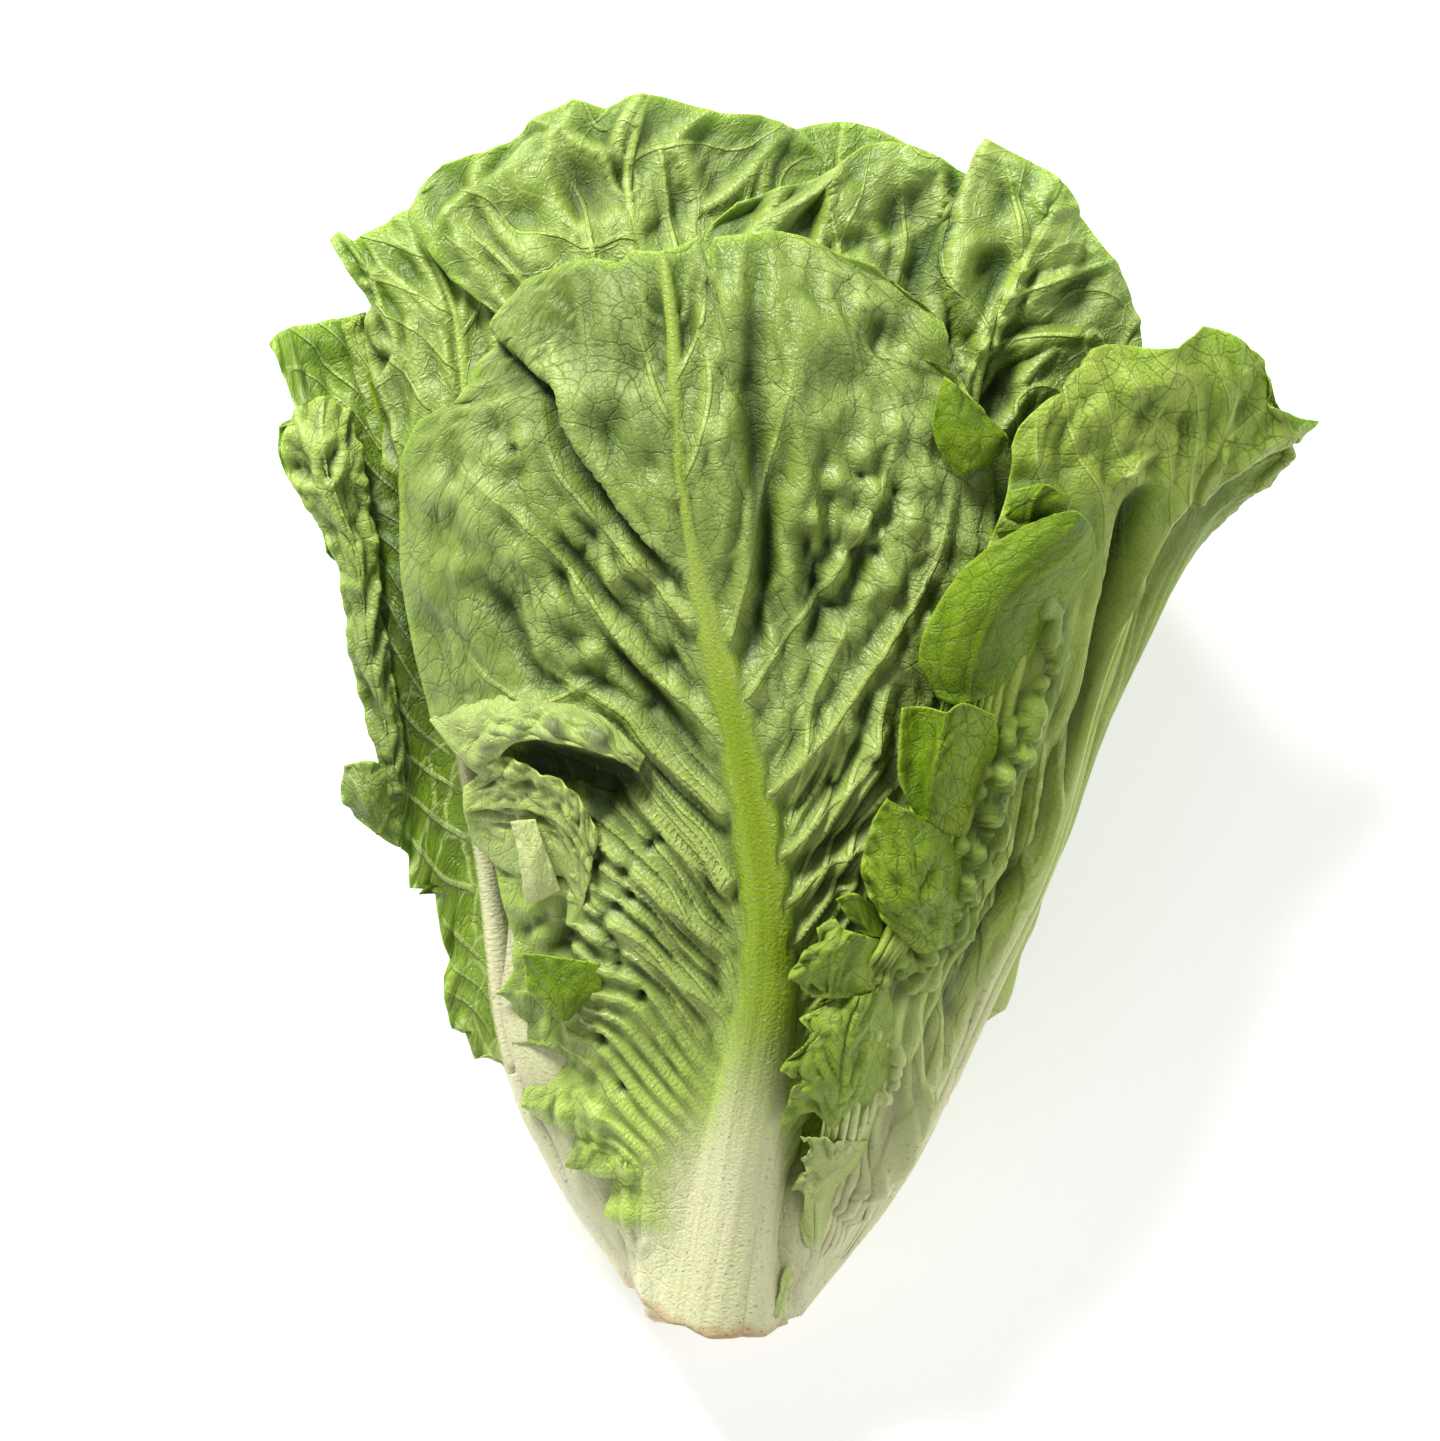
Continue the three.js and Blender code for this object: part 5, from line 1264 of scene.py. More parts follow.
def right_outer_flaps():
    spoon = [
        [(30.6, 4.7, 2), (35, 3, 2.5), (40, 4.5, 1), (45, 6, -1.5)],
        [(26.4, 12.6, 4), (34, 11, 5.5), (42, 11, 3), (50, 12, -1.5)],
        [(28.8, 21.7, 6), (37, 21, 8), (46, 21, 5), (55, 22, -1.5)],
        [(36, 32.6, 7), (45, 32, 9), (53, 30, 6), (60, 28, -0.5)],
        [(46, 40, 7), (53, 39.5, 9), (60, 37, 7), (64.4, 34.5, 1)],
        [(55.4, 44.2, 6), (59.5, 44.8, 7), (62.5, 43, 6), (64.3, 40, 4)],
    ]
    dark_fold = [
        [(43, 40, -0.5), (50, 41, 0.5), (58, 42, -1)],
        [(45.4, 44.6, 2.5), (51, 46.5, 4), (59, 46, 0)],
        [(45.8, 49, 2), (53.3, 50.4, 3.5), (59.5, 47.5, -0.5)],
    ]
    pocket = [
        [(27, -22, 2), (27.8, -22, 2.5), (28.6, -22, 4), (32, -24, 2), (37, -26, -1.5)],
        [(22.4, -13, 5), (26, -12, 3), (30, -11, 8), (35, -12, 5), (41, -14, -1.5)],
        [(22.5, -4, 6), (27, -4, 3.5), (31.5, -3, 9), (37, -4, 6), (44, -6, -1.5)],
        [(23, 2.6, 6), (27.5, 2.8, 4), (32.5, 1.6, 9), (36.5, 3.5, 7), (43, 1, 2)],
    ]
    wing = [
        [(26, -50, 2), (29, -50.5, 3), (33, -49, 2), (37, -47, -1)],
        [(17.9, -41, 5), (24, -42, 6), (31, -41, 4), (38, -40, -1.5)],
        [(14.4, -33, 6), (22, -33, 7.5), (30, -32, 4), (38, -32, -1.5)],
        [(16.5, -22.5, 7), (22.5, -22, 7), (28.5, -23, 4), (36, -24, -1.5)],
        [(19.9, -16.8, 7), (22.5, -18.5, 7), (26.5, -20.5, 5), (31, -22, 2)],
    ]
    tab = [
        [(13.5, -45.5, 2), (16.5, -46.5, 3), (19, -47, 0)],
        [(11, -42, 4), (14.5, -42, 5), (19, -43, -1)],
        [(8.9, -38.9, 5), (12.9, -37.2, 6), (17, -40, 1)],
    ]
    upper_frill = [
        [(-0.3, -59.5, 3), (5, -60, 5), (11, -60, 5), (19, -60, -1)],
        [(-1.6, -55.6, 6), (5, -55, 8), (12, -55, 6), (20, -56, -1)],
        [(2.5, -50.5, 8), (8, -50, 9), (13.5, -50, 6), (20, -50.5, -1)],
        [(7.8, -42.7, 6), (11, -45, 6.5), (15, -46.5, 5), (19, -47.5, 0)],
    ]
    lower_frill = [
        [(-2.4, -88.4, 3), (4, -88, 4), (11, -90, 3), (17, -88, -1)],
        [(-1, -81, 5), (6, -80, 7), (14, -80, 5), (21, -79, -1)],
        [(-2.4, -75.5, 5), (6, -74, 7.5), (14, -73, 5), (22, -72, -1)],
        [(2.5, -67.5, 5), (8, -67, 7), (15, -66, 5), (22, -65, -1)],
        [(8, -60.5, 2), (12, -60, 3), (16, -59, 2.5), (20.5, -58, -1)],
    ]
    low_frill = [
        [(3, -116, 1), (4.5, -116, 1.5), (6.5, -115, 0)],
        [(1, -103, 1.5), (5, -103, 3), (9.5, -103, -0.5)],
        [(3, -98, 2.5), (8, -98, 3.5), (14, -98, -1)],
        [(1.5, -91, 2.5), (9, -92, 4), (16.5, -92, -1)],
    ]
    upper_teeth = [(4.6, -60), (1.5, -58.4), (-1.4, -56.3), (0.4, -53), (2.0, -49.7),
                   (5.2, -47), (4.8, -44.8), (8.4, -42.3)]
    lower_teeth = [(-2.8, -88.6), (-1.2, -83.8), (-0.7, -80.5), (1.6, -78.6), (2.4, -77.2),
                   (-2.9, -75.8), (-0.2, -72.4), (3.3, -69.8), (3.9, -67), (1.2, -64.6),
                   (4.6, -62.4), (8, -60.5)]
    end_teeth = [(-2.8, -88.6), (1.7, -85.5), (4.6, -85.1), (8.4, -89), (11.5, -86.2),
                 (14, -89), (17, -88)]
    low_teeth = [(3, -116), (1.6, -109), (3.6, -105.6), (-0.2, -102.8), (3.2, -99.6),
                 (1.8, -96.5), (3.9, -94), (1.5, -91)]
    node = "right_outer_leaf"
    return [
        flap(node, spoon, 61, grid=(60, 36), vivid=0.85, puff=0.4, ruffle=0.4, wave=1.2,
             crinkle=0.25, dimples=((9.0, 1.3, 0.8),)),
        flap(node, dark_fold, 62, grid=(24, 24), vivid=0.9, wave=1.2),
        flap(node, pocket, 63, grid=(44, 44), ruffle=0.4, wave=1.4,
             vivid=lambda x, y: 0.9 - 0.7 * smooth(28.5, 31, x)),
        flap(node, wing, 64, grid=(58, 40), vivid=0.4, puff=0.9, ruffle=1.2, wave=1.8,
             dimples=((8.0, 1.3, 1.1), (3.5, 1.2, 0.25))),
        flap(node, tab, 65, grid=(20, 18), vivid=0.8, ruffle=0.8),
        flap(node, upper_frill, 66, grid=(46, 42), vivid=0.2, young=0.3, puff=0.9, ruffle=2.2,
             wave=2.0, ruffle_run=6.5, dimples=((7.0, 1.3, 1.1), (3.0, 1.2, 0.25)),
             margins=[(1, 0, upper_teeth)]),
        flap(node, lower_frill, 67, grid=(66, 40), vivid=0.15, young=0.3, puff=1.0, ruffle=2.4,
             wave=2.0, ruffle_run=7.5, dimples=((8.0, 1.3, 1.3), (3.4, 1.2, 0.25)),
             margins=[(1, 0, lower_teeth), (0, 0, end_teeth)]),
        flap(node, low_frill, 68, grid=(48, 26), vivid=0.0, young=0.9, ruffle=1.8,
             ruffle_run=6, pale=0.35, wave=1.4, margins=[(1, 0, low_teeth)]),
    ]


def right_outer_leaf():
    def top_only(x, y):
        return smooth(28, 55, y)

    def pale(x, y):
        return 0.95 * smooth(-48, -104, y + 0.5 * (30 - x))

    def rib_pale(x, y):
        return smooth(-15, -85, y)

    blade = {
        "net": NETS["right_outer_leaf"], "grid": (262, 130), "seed": 51,
        "rib": [9, 8, 7, 6, 4.6, 3, 1.8, 1.0, 0.7, 0.4], "rib_height": 0.3,
        "pale": pale, "rib_pale": rib_pale, "cut": 1.0,
        "lean": 1.5, "vein_gap": 15, "vein_width": 1.0, "vein_height": 0.7,
        "auto_veins": lambda x, y: 0.6 * top_only(x, y), "corrugation": 1.0,
        "dimples": ((14.0, 1.3, 1.2), (5.0, 1.5, 0.25)), "crinkle": 0.3,
        "pleats": [(26, 2.6, lambda x, y: smooth(50, -10, y) * smooth(-122, -100, y))],
        "puff": lambda x, y: 0.15 + 0.6 * top_only(x, y),
        "net_strength": lambda x, y: 0.25 + 0.75 * top_only(x, y),
        "wave": 1.4, "ruffle": 1.3, "ruffle_run": 22,
        "margins": [
            (0, -1, [(66.6, 72), (68.8, 75.6), (66.6, 80.2), (77, 79.6), (82.3, 79.9),
                     (85.9, 82.7), (88.1, 84.7), (93.9, 83.2), (98.4, 80), (101.5, 77.8),
                     (102.4, 71), (103, 68.4), (108.3, 66.1), (114.1, 64.8)]),
            (1, 0, [(-2, -132), (1, -112), (5, -98), (7, -85), (8, -72), (9, -60), (17, -50),
                    (22, -42), (22, -33), (25, -20), (29, -8), (32, 4), (34, 14), (37, 24),
                    (41, 36), (45.6, 48.7), (46, 51.4), (46.4, 58.5), (47.8, 62.6),
                    (51.8, 66.6), (58.1, 70.6), (62.6, 73.3), (66.6, 72)]),
        ],
        "young": lambda x, y: 0.8 * smooth(-20, -85, y),
        "veins": [
            ([(14, -108), (26.6, -88), (34.1, -73.8), (40.4, -58.7), (44.2, -43.7),
              (46.7, -24.9), (49.2, -6.1), (52.5, 8), (57, 25)], 1.2, 2.4),
            ([(16, -100), (26.6, -81.3), (35.4, -63.7), (39.2, -48.7), (42.9, -31.2),
              (44.8, -12.4), (47.5, 2)], 1.1, 2.2),
            ([(14, -102), (22.9, -86.3), (31.6, -71.2), (32.9, -62.5), (29.5, -57.5)], 1.1, 2.2),
            ([(12, -106), (20.4, -93.8), (26, -81.3), (27.3, -68.7), (25.6, -60)], 1.0, 2.0),
            ([(22, -96), (39.2, -65), (47.9, -43.7), (51.7, -24.9), (54.2, -6.1),
              (58, 12), (61, 26)], 1.2, 2.4),
            ([(34, -78), (45.4, -52.5), (52.9, -31.2), (57.2, -12.4), (60.2, 4), (64.4, 20),
              (66.6, 32), (69, 46), (71.5, 64)], 1.3, 2.6),
            ([(42, -62), (50, -44), (56, -28), (60.5, -14), (64.6, 0), (68.2, 11), (71.4, 22),
              (74.6, 33), (78.7, 41), (84, 46.5)], 1.7, 3.6),
            ([(10, -116), (17.9, -100), (25.4, -86), (31.6, -76), (39.2, -65), (45.4, -52.5),
              (49.2, -41), (55.5, -18.6), (61, 4)], 1.0, 1.4),
            ([(83.2, 46), (84.5, 53.2), (86.3, 59.4), (88, 70)], 1.0, 1.4),
            ([(70.6, 52.3), (74.2, 55.8), (79.6, 58.5)], 0.9, 1.2),
            ([(86, 47.8), (92, 60), (96, 72)], 0.8, 1.0),
        ],
        "folds": [
            ([(75, 48), (72.6, 41), (70.6, 33), (67.6, 22), (65, 10), (62.6, 0), (59, -14)],
             2.6, -9.0),
            ([(48, -4), (46.5, -20), (42, -40), (37, -55), (30, -70)], 1.5, -2.2),
            ([(53, 0), (49.5, -22), (46, -42), (39.5, -58), (31, -75)], 1.5, -2.4),
            ([(57, 4), (54, -18), (49, -40), (43, -56), (34, -74)], 1.5, -2.4),
            ([(65, 71), (60, 65), (57, 58), (56.5, 50)], 1.8, -2.2),
        ],
        "overlaps": [
            ([(66, 2), (70.6, 15.5), (72.4, 24.5), (75.1, 33.4), (78.7, 40.6), (82.3, 46),
              (86, 47.8), (93.9, 53.6), (98.4, 56.3), (105.6, 59.4), (112, 63)], 2.0, -4.0, 7.0),
        ],
        # Painted shade: darker tissue in the crease under the ridge, on the face turned from the key light, and
        # beside the spoon.
        "painted_shades": [
            ([(73, 45), (70.6, 36), (67.6, 24), (65, 12), (62.6, 2), (59, -12)], 3.4, 0.95),
            ([(100, 54), (92, 47), (84, 38), (79, 29), (75, 18), (71, 6)], 6.5, 0.6),
            ([(45, 47), (52, 52), (60, 48)], 5.0, 0.5),
        ],
        "lumps": [
            (90.3, 57.6, 2.6, 2.2), (76, 66, 4.5, -2.4), (72, 72, 4, 1.6), (80, 72, 5, 1.6),
            (62, 66, 3.0, 1.2), (66, 58, 4.5, -2.0), (74, 52, 2.2, 2.0), (84, 64, 3.5, -1.6),
            (92, 74, 6, 1.4), (98, 66, 4, -1.5), (60, 54, 4, -1.4),
        ],
        "beads": [
            ([(54.5, 25), (54.5, 16), (53, 6), (47.5, -4), (45.5, -9), (42, -13), (40.5, -17.5),
              (42, -22.5), (40.5, -28.6), (38, -35), (36.6, -40), (36, -45), (33, -50),
              (29, -53.7), (25.4, -57.5), (22, -59)], 3.4, 2.4),
            ([(46, -7), (38, -28), (33, -44), (28, -50), (21, -56), (18.5, -53)], 3.6, 2.0),
            ([(18, -67.5), (21.6, -73.8), (21, -78.8), (19.7, -85)], 3.2, 1.9),
        ],
    }
    inner_margin = {
        "net": [
            [(-6, -131.5, 32), (-2, -132, 32), (2, -130.5, 28)],
            [(-7, -114, 41), (0, -114, 43), (7, -113, 40)],
            [(-6, -98, 46), (3, -98, 49), (12, -97, 47)],
            [(-1, -80, 53), (7, -80, 56), (16, -79, 55)],
        ],
        "grid": (32, 12), "seed": 69, "auto_veins": 0.0, "puff": 0.3, "wave": 0.3, "skin": 1,
        "ruffle": 0.2, "base_thick": 1.0, "pale": lambda x, y: smooth(-92, -112, y),
        "vivid": 0.8,
    }
    piece = leaf_object("right_outer_leaf_detail",
                        [blade, inner_margin] + right_outer_flaps(),
                        [RIGHT_SKIN, FRILL_SKIN])
    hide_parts("right_outer_leaf")


def base_pale(x, y):
    return smooth(-50, -100, y)


def upper_left_leaf():
    blade = {
        "net": NETS["upper_left_leaf"], "grid": (190, 90), "seed": 71,
        "rib": [4, 3.5, 3, 2.2, 1.4, 0.9, 0.6, 0.4], "pale": base_pale,
        "lean": 1.2, "vein_gap": 14, "vein_height": 0.5, "corrugation": 0.4,
        "dimples": ((10.0, 1.2, 2.8), (4.5, 1.3, 0.4)), "crinkle": 0.3, "ruffle": 1.5,
        "ruffle_run": 14,
        "puff": lambda x, y: 0.1 + 0.9 * smooth(20, 60, y),
        "wave": lambda x, y: 0.4 + 1.8 * smooth(20, 60, y),
        "margins": [
            (1, 0, [(-78, 20), (-85.8, 51), (-88.4, 53), (-89.7, 57.7), (-90.4, 62), (-93.6, 82),
                    (-92.3, 90), (-97, 98), (-100.8, 104)]),
            (0, -1, [(-100.8, 104.2), (-99, 106.2), (-95.6, 104), (-91, 106.2), (-85.8, 109.5),
                     (-81.9, 110.8), (-74, 110), (-64, 102)]),
        ],
    }
    piece = leaf_object("upper_left_leaf_detail", [blade], [INNER_SKIN])
    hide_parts("upper_left_leaf")


def top_back_leaf():
    blade = {
        "net": NETS["top_back_leaf"], "grid": (200, 125), "seed": 81,
        "rib": [4, 3.5, 3, 2.2, 1.2, 0.5, 0.3, 0.2], "rib_height": 0.2, "pale": base_pale,
        "lean": 0.9, "vein_gap": 21, "vein_height": 0.5, "corrugation": 0.2, "stray": 0.6,
        "dimples": ((14.0, 1.6, 4.4), (6.0, 1.4, 0.6)), "crinkle": 0.12, "ruffle": 1.0,
        "puff": lambda x, y: (0.1 + 0.9 * smooth(68, 95, y)) * (1 - 0.5 * smooth(-20, -8, x)),
        "ruffle_run": 24,
        "wave": lambda x, y: 0.6 + 1.8 * smooth(68, 95, y),
        # Painted shade: the right side of this leaf is darkened with the deep green.
        "vivid": lambda x, y: 0.55 * smooth(-16, -4, x),
        "veins": [
            ([(-36, 84), (-42, 96), (-46, 112), (-54.8, 127)], 0.8, 1.6),
            ([(-30, 86), (-26, 100), (-28, 118), (-30, 130)], 0.7, 1.4),
            ([(-50, 84), (-62, 98), (-74, 108)], 0.7, 1.3),
            ([(-20, 86), (-12, 104), (-8, 122)], 0.7, 1.2),
        ],
        "lumps": [(-46, 115, 6, -3.5), (-36, 118, 4.5, -3.0), (-66, 110, 6, -3.0),
                  (-22, 112, 6, -3.0), (-40, 106, 4, 2.5), (-56, 102, 5, 2.5)],
        "margins": [
            (1, 0, [(-54, 60), (-64, 87.2), (-68.3, 90.5), (-73.8, 96), (-78.2, 104.7),
                    (-81, 114.7)]),
            (0, -1, [(-81, 114.7), (-76, 120), (-70.7, 121.7), (-66, 122.4), (-61.6, 125),
                     (-55.7, 129.5), (-53, 131.1), (-47.2, 133.5), (-41, 132.6), (-36, 134.6),
                     (-27.5, 134.4), (-21.6, 132.8), (-15.9, 131.1), (-7, 130.9), (-0.7, 128.5)]),
        ],
    }
    piece = leaf_object("top_back_leaf_detail", [blade], [INNER_SKIN])
    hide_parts("top_back_leaf")


def upper_right_leaf():
    blade = {
        "net": NETS["upper_right_leaf"], "grid": (200, 125), "seed": 91,
        "rib": [4, 3.5, 3, 2.2, 1.0, 0.5, 0.3, 0.2], "rib_height": 0.2, "pale": base_pale,
        "lean": 1.0, "vein_gap": 22, "vein_height": 0.4, "corrugation": 0.2, "stray": 0.6,
        "dimples": ((13.0, 1.7, 4.0), (5.5, 1.4, 0.6)), "crinkle": 0.12, "ruffle": 1.1,
        "puff": lambda x, y: (0.1 + 0.9 * smooth(40, 75, y)) * (1 - 0.65 * smooth(48, 62, x)),
        "ruffle_run": 18,
        "wave": lambda x, y: 0.6 + 1.8 * smooth(40, 75, y),
        "veins": [
            ([(28, 56), (37.4, 73.7), (46, 91), (52, 102), (61, 118)], 1.1, 2.6),
            ([(46, 91), (60, 96), (74, 101)], 0.8, 1.4),
            ([(40, 80), (54, 83), (72, 82)], 0.8, 1.4),
            ([(49, 97), (48, 110), (44, 126)], 0.7, 1.3),
            ([(16, 84), (10, 100), (6, 116)], 0.8, 1.6),
            ([(20, 86), (24, 104), (22, 122)], 0.8, 1.6),
        ],
        "overlaps": [
            ([(40.8, 124.5), (37.4, 117.6), (34.8, 106.4), (33, 96), (34.8, 86), (36, 76)],
             2.6, -3.0, 6.0),
        ],
        # Painted shade: darker tissue in two creases.
        "painted_shades": [
            ([(46, 100), (44, 96), (41, 90)], 4.0, 0.35),
            ([(14, 111), (17, 101), (26, 91)], 2.2, 0.5),
        ],
        "margins": [
            (1, 0, [(4, 60), (-10, 88), (-19.4, 101.4), (-17.7, 106.6), (-12.2, 111.4)]),
            (0, -1, [(-12.2, 111.4), (-5.2, 113.8), (4.6, 116.5), (9.2, 119), (15.3, 123.7),
                     (19, 124.5), (24.2, 124), (29.7, 122), (36.7, 118.4), (38.6, 119.5),
                     (39.3, 123.2), (41.3, 125), (48.2, 122), (54.6, 118.6), (60.3, 113),
                     (61.6, 108.8), (65.3, 104), (70.5, 97.7), (73.3, 92.4)]),
            (1, -1, [(66, 52), (72, 66), (75.3, 78), (75.1, 86), (73.3, 92.4)]),
        ],
        "folds": [
            ([(43.4, 103), (37, 101), (33, 90)], 2.4, 3.0),
            ([(50, 88), (44, 76), (40, 66)], 3.5, -4.0),
        ],
        "lumps": [(48, 112, 4, -3.0), (44, 98, 5, -3.5), (56, 104, 5, 2.0), (62, 92, 5, -3.0),
                  (22, 108, 6, -2.6), (2, 106, 6, -2.4), (34, 112, 4, 2.0)],
    }
    piece = leaf_object("upper_right_leaf_detail", [blade], [INNER_SKIN])
    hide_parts("upper_right_leaf")


def plain_leaf(node, grid, seed, outward, skin, slot, **changes):
    blade = {
        "net": NETS[node], "grid": grid, "seed": seed, "outward": outward,
        "rib": [6, 5, 4, 3, 2, 1.2, 0.7, 0.4], "pale": base_pale,
        "lean": 1.1, "vein_gap": 12, "wave": 1.2, "ruffle": 1.5,
    }
    blade.update(changes)
    piece = leaf_object(node + "_detail", [blade], [skin])
    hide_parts(node)


HEART_STATIONS = [
    (-94, -12.5, 24.5, 8, 6),
    (-60, -10, 32, 23, 14),
    (-20, -7, 39.5, 37, 20),
    (25, -4, 45, 44, 25),
    (65, -3, 50, 46, 25),
    (100, -3, 53, 40, 21),
]
HEART_RINGS = [
    {"size": 0.92, "start": 0, "end": 0.98, "turn": 90, "reach": 74, "spiral": 0.11},
    {"size": 0.6, "start": 0.14, "end": 0.92, "turn": 30, "reach": 72, "spiral": 0.15},
    {"size": 0.3, "start": 0.32, "end": 0.84, "turn": 80, "reach": 64, "spiral": 0.24},
]
HEART_BASE_REACH = 47
HEART_LEAVES_PER_RING = 3


def heart_net(ring, angle):
    """A heart leaf: an arc of its ring at each station, wound inwards from edge to edge."""
    net = []
    for i in range(6):
        share = i / 5
        at = [ring["start"] + (ring["end"] - ring["start"]) * share]
        y, cx, cz, rx, rz = spline(np.array(HEART_STATIONS, float), at)[0]
        widening = float(smooth(0, 0.6, share))
        reach = HEART_BASE_REACH + (ring["reach"] - HEART_BASE_REACH) * widening
        row = []
        for j in range(5):
            across = j / 2 - 1
            phi = math.radians(angle + across * reach)
            size = ring["size"] * (1 + ring["spiral"] * across * (0.4 + share))
            cavity_shading = 7 * across ** 2 if i == 5 else 0
            row.append((cx + rx * size * math.cos(phi), y - cavity_shading, cz + rz * size * math.sin(phi)))
        net.append(row)
    return net


def heart_leaves():
    for r, ring in enumerate(HEART_RINGS):
        for k in range(HEART_LEAVES_PER_RING):
            number = r * HEART_LEAVES_PER_RING + k + 1
            angle = ring["turn"] + 360 * k / HEART_LEAVES_PER_RING
            blade = {
                "net": heart_net(ring, angle), "grid": (56, 34), "seed": 200 + number,
                "outward": -1, "rib": [3, 3, 2.4, 1.6, 0.9, 0.4], "rib_height": 0.3,
                "pale": lambda x, y: 0.15 + 0.8 * smooth(40, -90, y), "lean": 1.2,
                "vein_gap": 9, "puff": 0.5, "wave": 0.5, "ruffle": 0.6, "ruffle_run": 14,
                "vein_height": 0.4, "corrugation": 0.4, "base_thick": 0.3,
            }
            name = f"heart_leaf_{number}"
            piece = leaf_object(name + "_detail", [blade], [HEART_SKIN])
            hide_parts(name)


# ---------------------------------------------------------------- the cut stem

def stem_material():
    material = bpy.data.materials.new("cut_stem")
    material.use_nodes = True
    tree = material.node_tree
    link = tree.links.new
    shader = tree.nodes["Principled BSDF"]
    place = attribute(tree, "place").outputs["Vector"]
    rim = attribute(tree, "rim").outputs["Fac"]
    patches = add(tree, "ShaderNodeGroup", node_tree=MOTTLE)
    patches.inputs["Patch Size"].default_value = 7.0
    link(place, patches.inputs["Place"])
    skin = add(tree, "ShaderNodeGroup", node_tree=SKIN)
    link(place, skin.inputs["Place"])
    colour = mixed(tree, patches.outputs["Patches"], (0.76, 0.74, 0.55), CREAM)
    brown = maths(tree, "MULTIPLY", rim, maths(tree, "ADD", maths(tree, "MULTIPLY", patches.outputs["Patches"], 0.7), 0.3), clamp=True)
    colour = mixed(tree, brown, colour, (0.48, 0.27, 0.12))
    colour = mixed(tree, maths(tree, "MULTIPLY", patches.outputs["Specks"], 0.6), colour, (0.3, 0.24, 0.1))
    link(colour, shader.inputs["Base Color"])
    bump = add(tree, "ShaderNodeBump")
    bump.inputs["Strength"].default_value = 0.5
    bump.inputs["Distance"].default_value = 0.0006
    link(skin.outputs["Grain"], bump.inputs["Height"])
    link(bump.outputs["Normal"], shader.inputs["Normal"])
    link(ranged(tree, patches.outputs["Patches"], 0.0, 1.0, 0.45, 0.6), shader.inputs["Roughness"])
    shader.inputs["Subsurface Weight"].default_value = 0.3
    shader.inputs["Subsurface Radius"].default_value = (1.0, 0.9, 0.5)
    shader.inputs["Subsurface Scale"].default_value = 0.003
    return material


def stem_butt():
    """The cut stem: a lobed cone with a slightly domed, browned cut face."""
    around, rings = 160, []
    profile = [(0.0, -0.4), (0.25, -0.5), (0.5, -0.2), (0.75, 0.1), (0.92, 0.3), (1.0, 1.2),
               (1.02, 3.0), (1.0, 8.0), (0.97, 14.0), (0.8, 21.0), (0.5, 28.0), (0.2, 36.0)]
    phi = np.linspace(0, 2 * np.pi, around, endpoint=False)
    verts, rims, places = [], [], []
    for size, height in profile[1:]:
        lobes = 1 + 0.035 * np.cos(5 * phi + 0.6) + 0.02 * np.cos(11 * phi)
        radius = STEM_RADIUS * size * lobes
        rough = 0.35 * swell(phi * 6, np.full(around, size * 7), 5) * (height < 2)
        verts.append(np.stack([
            STEM_X + radius * np.cos(phi),
            STEM_CUT_Y + 0.8 + height + rough,
            STEM_Z + radius * np.sin(phi),
        ], axis=1))
        rims.append(np.full(around, 1.0 if 0.9 <= size <= 1.01 and height < 2 else (0.35 if height < 2 else 0.0)))
        places.append(verts[-1])
    quads = []
    for k in range(len(verts) - 1):
        base = k * around
        i = np.arange(around)
        j = (i + 1) % around
        quads.append(np.stack([base + i, base + around + i, base + around + j, base + j], axis=1))
    points = (np.concatenate(verts) + SHIFT) * MM
    faces = np.concatenate(quads).tolist()
    ends = [list(range(around)), [len(points) - 1 - k for k in range(around)]]
    mesh = bpy.data.meshes.new("stem_butt_detail")
    mesh.from_pydata(points.tolist(), [], faces + ends)
    mesh.validate()
    mesh.shade_smooth()
    rim = mesh.attributes.new("rim", "FLOAT", "POINT")
    rim.data.foreach_set("value", np.concatenate(rims).astype(np.float32))
    place = mesh.attributes.new("place", "FLOAT_VECTOR", "POINT")
    place.data.foreach_set("vector", points.ravel().astype(np.float32))
    mesh.materials.append(stem_material())
    piece = bpy.data.objects.new("stem_butt_detail", mesh)
    bpy.context.scene.collection.objects.link(piece)
    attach(piece, "root")
    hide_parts("stem_butt")


# ---------------------------------------------------------------- floor, light and camera

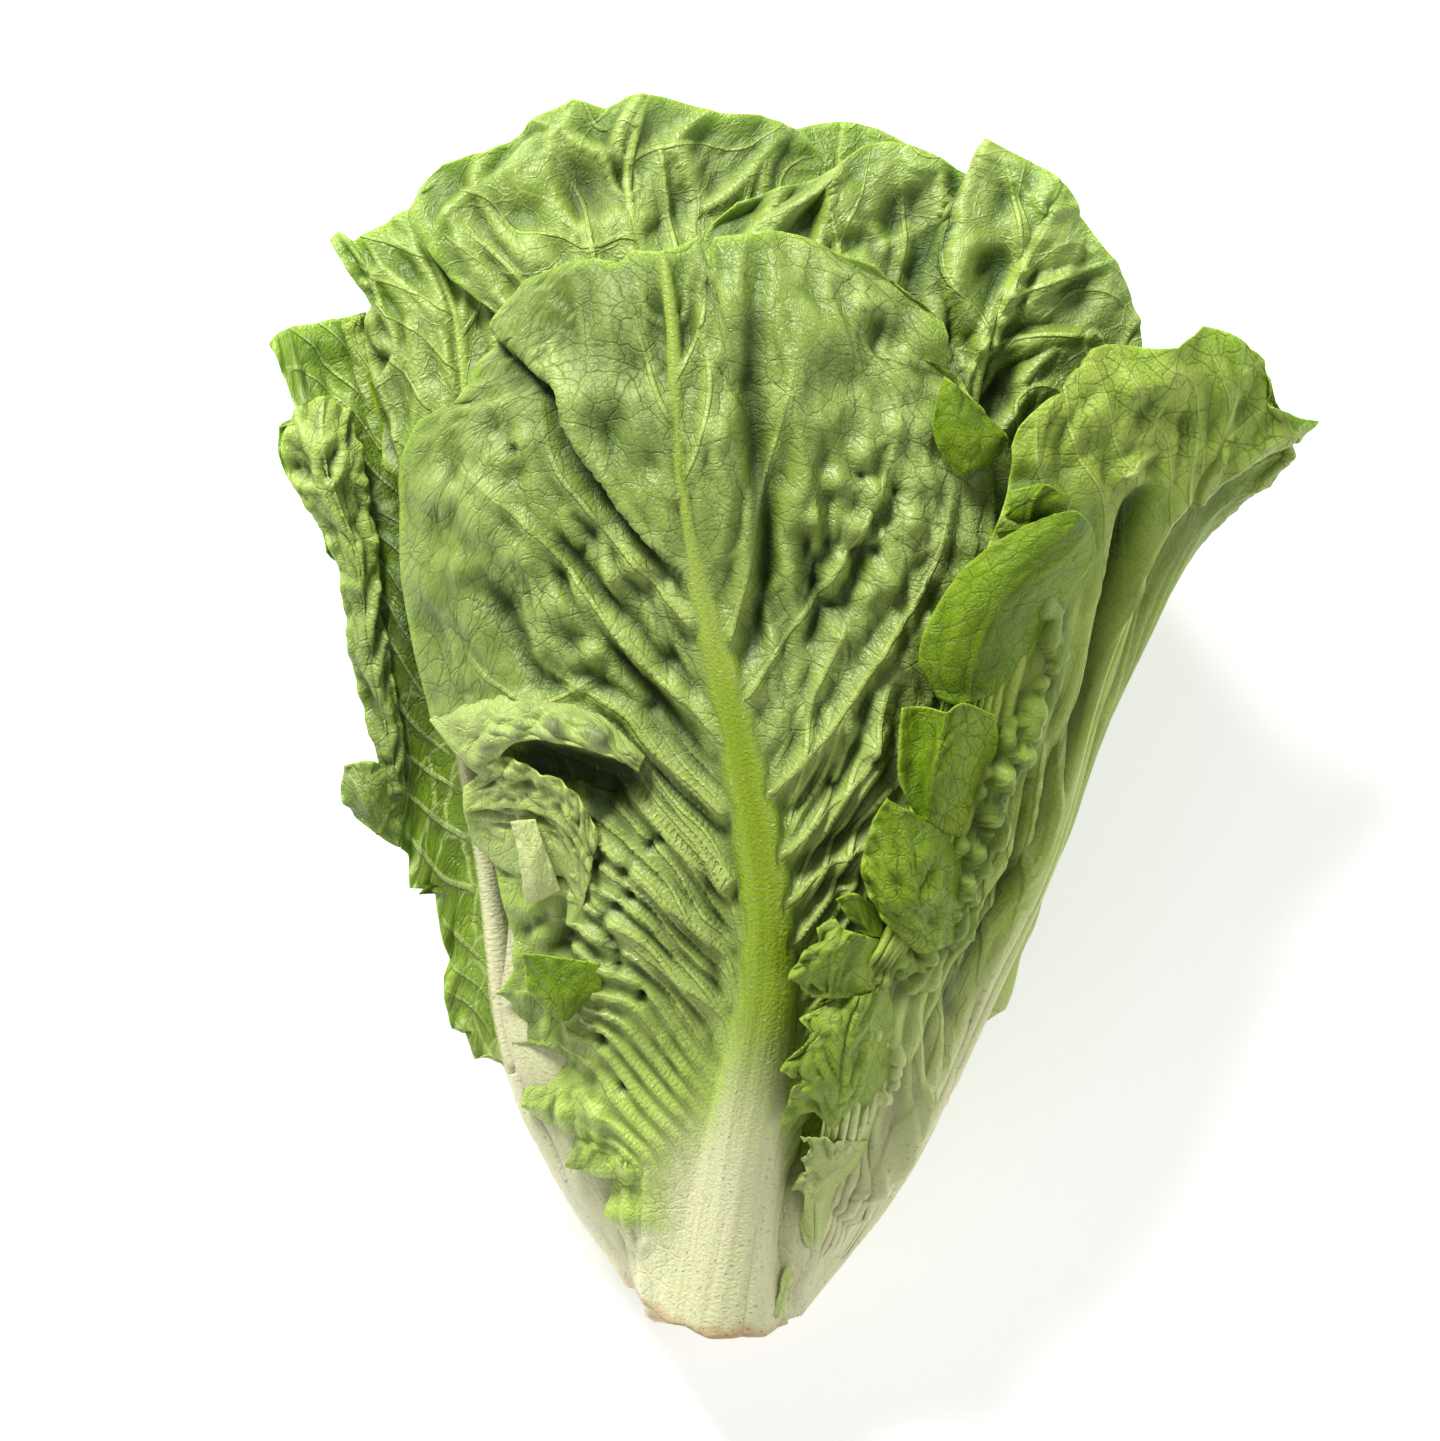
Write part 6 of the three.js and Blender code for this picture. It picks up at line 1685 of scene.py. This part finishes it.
def studio():
    floor_mesh = bpy.data.meshes.new("floor")
    r = 4.0
    floor_mesh.from_pydata([(-r, -r, 0), (r, -r, 0), (r, r, 0), (-r, r, 0)], [], [(0, 1, 2, 3)])
    paper = bpy.data.materials.new("pale_paper")
    paper.use_nodes = True
    paper.node_tree.nodes["Principled BSDF"].inputs["Base Color"].default_value = (0.93, 0.93, 0.92, 1)
    paper.node_tree.nodes["Principled BSDF"].inputs["Roughness"].default_value = 0.9
    paper.node_tree.nodes["Principled BSDF"].inputs["Emission Color"].default_value = (1, 1, 1, 1)
    paper.node_tree.nodes["Principled BSDF"].inputs["Emission Strength"].default_value = 0.4
    floor_mesh.materials.append(paper)
    floor = bpy.data.objects.new("floor", floor_mesh)
    bpy.context.scene.collection.objects.link(floor)

    def lamp(name, size, power, place, aim=(0, 0, 0.06)):
        data = bpy.data.lights.new(name, "AREA")
        data.shape = "DISK"
        data.size = size
        data.energy = power
        light = bpy.data.objects.new(name, data)
        light.location = place
        light.rotation_euler = (Vector(aim) - Vector(place)).to_track_quat("-Z", "Y").to_euler()
        bpy.context.scene.collection.objects.link(light)

    lamp("key", 0.55, 54, (-0.6, 1.25, 1.1))
    lamp("fill", 1.5, 11, (1.25, -0.3, 1.1))
    lamp("low_fill", 1.2, 7, (-1.4, -1.2, 0.5))
    world = bpy.data.worlds.new("soft_room")
    world.use_nodes = True
    world.node_tree.nodes["Background"].inputs["Color"].default_value = (1, 1, 1, 1)
    world.node_tree.nodes["Background"].inputs["Strength"].default_value = 0.28
    bpy.context.scene.world = world
    bpy.context.scene.view_settings.view_transform = "Standard"

    camera_data = bpy.data.cameras.new("camera")
    camera_data.sensor_width = 36.0
    camera_data.lens = 250.0
    camera_data.clip_end = 20.0
    frame_width = 0.3145    # what the picture spans at the head's middle height
    middle_height = 0.06
    camera = bpy.data.objects.new("camera", camera_data)
    camera.location = (-0.0163, -0.0006, middle_height + frame_width * camera_data.lens / 36.0)
    bpy.context.scene.collection.objects.link(camera)
    bpy.context.scene.camera = camera


front_leaf()
left_outer_leaf()
right_outer_leaf()
upper_left_leaf()
top_back_leaf()
upper_right_leaf()
# Painted shade: the far top leaf is darkened with the deep green.
plain_leaf("far_top_leaf", (100, 50), 101, 1, INNER_SKIN, "inner_leaf", puff=0.5,
           corrugation=0.2, vein_gap=20, ruffle=0.8, ruffle_run=20, vivid=0.4)
plain_leaf("under_leaf", (100, 60), 111, -1, OUTER_SKIN, "outer_leaf", puff=0.4, wave=0.3,
           ruffle=0.8, corrugation=0.2, vein_height=0.3, rib_height=0.1)
plain_leaf("under_left_leaf", (100, 60), 121, -1, INNER_SKIN, "inner_leaf")
plain_leaf("under_right_leaf", (100, 60), 131, -1, INNER_SKIN, "inner_leaf")
heart_leaves()
stem_butt()
studio()
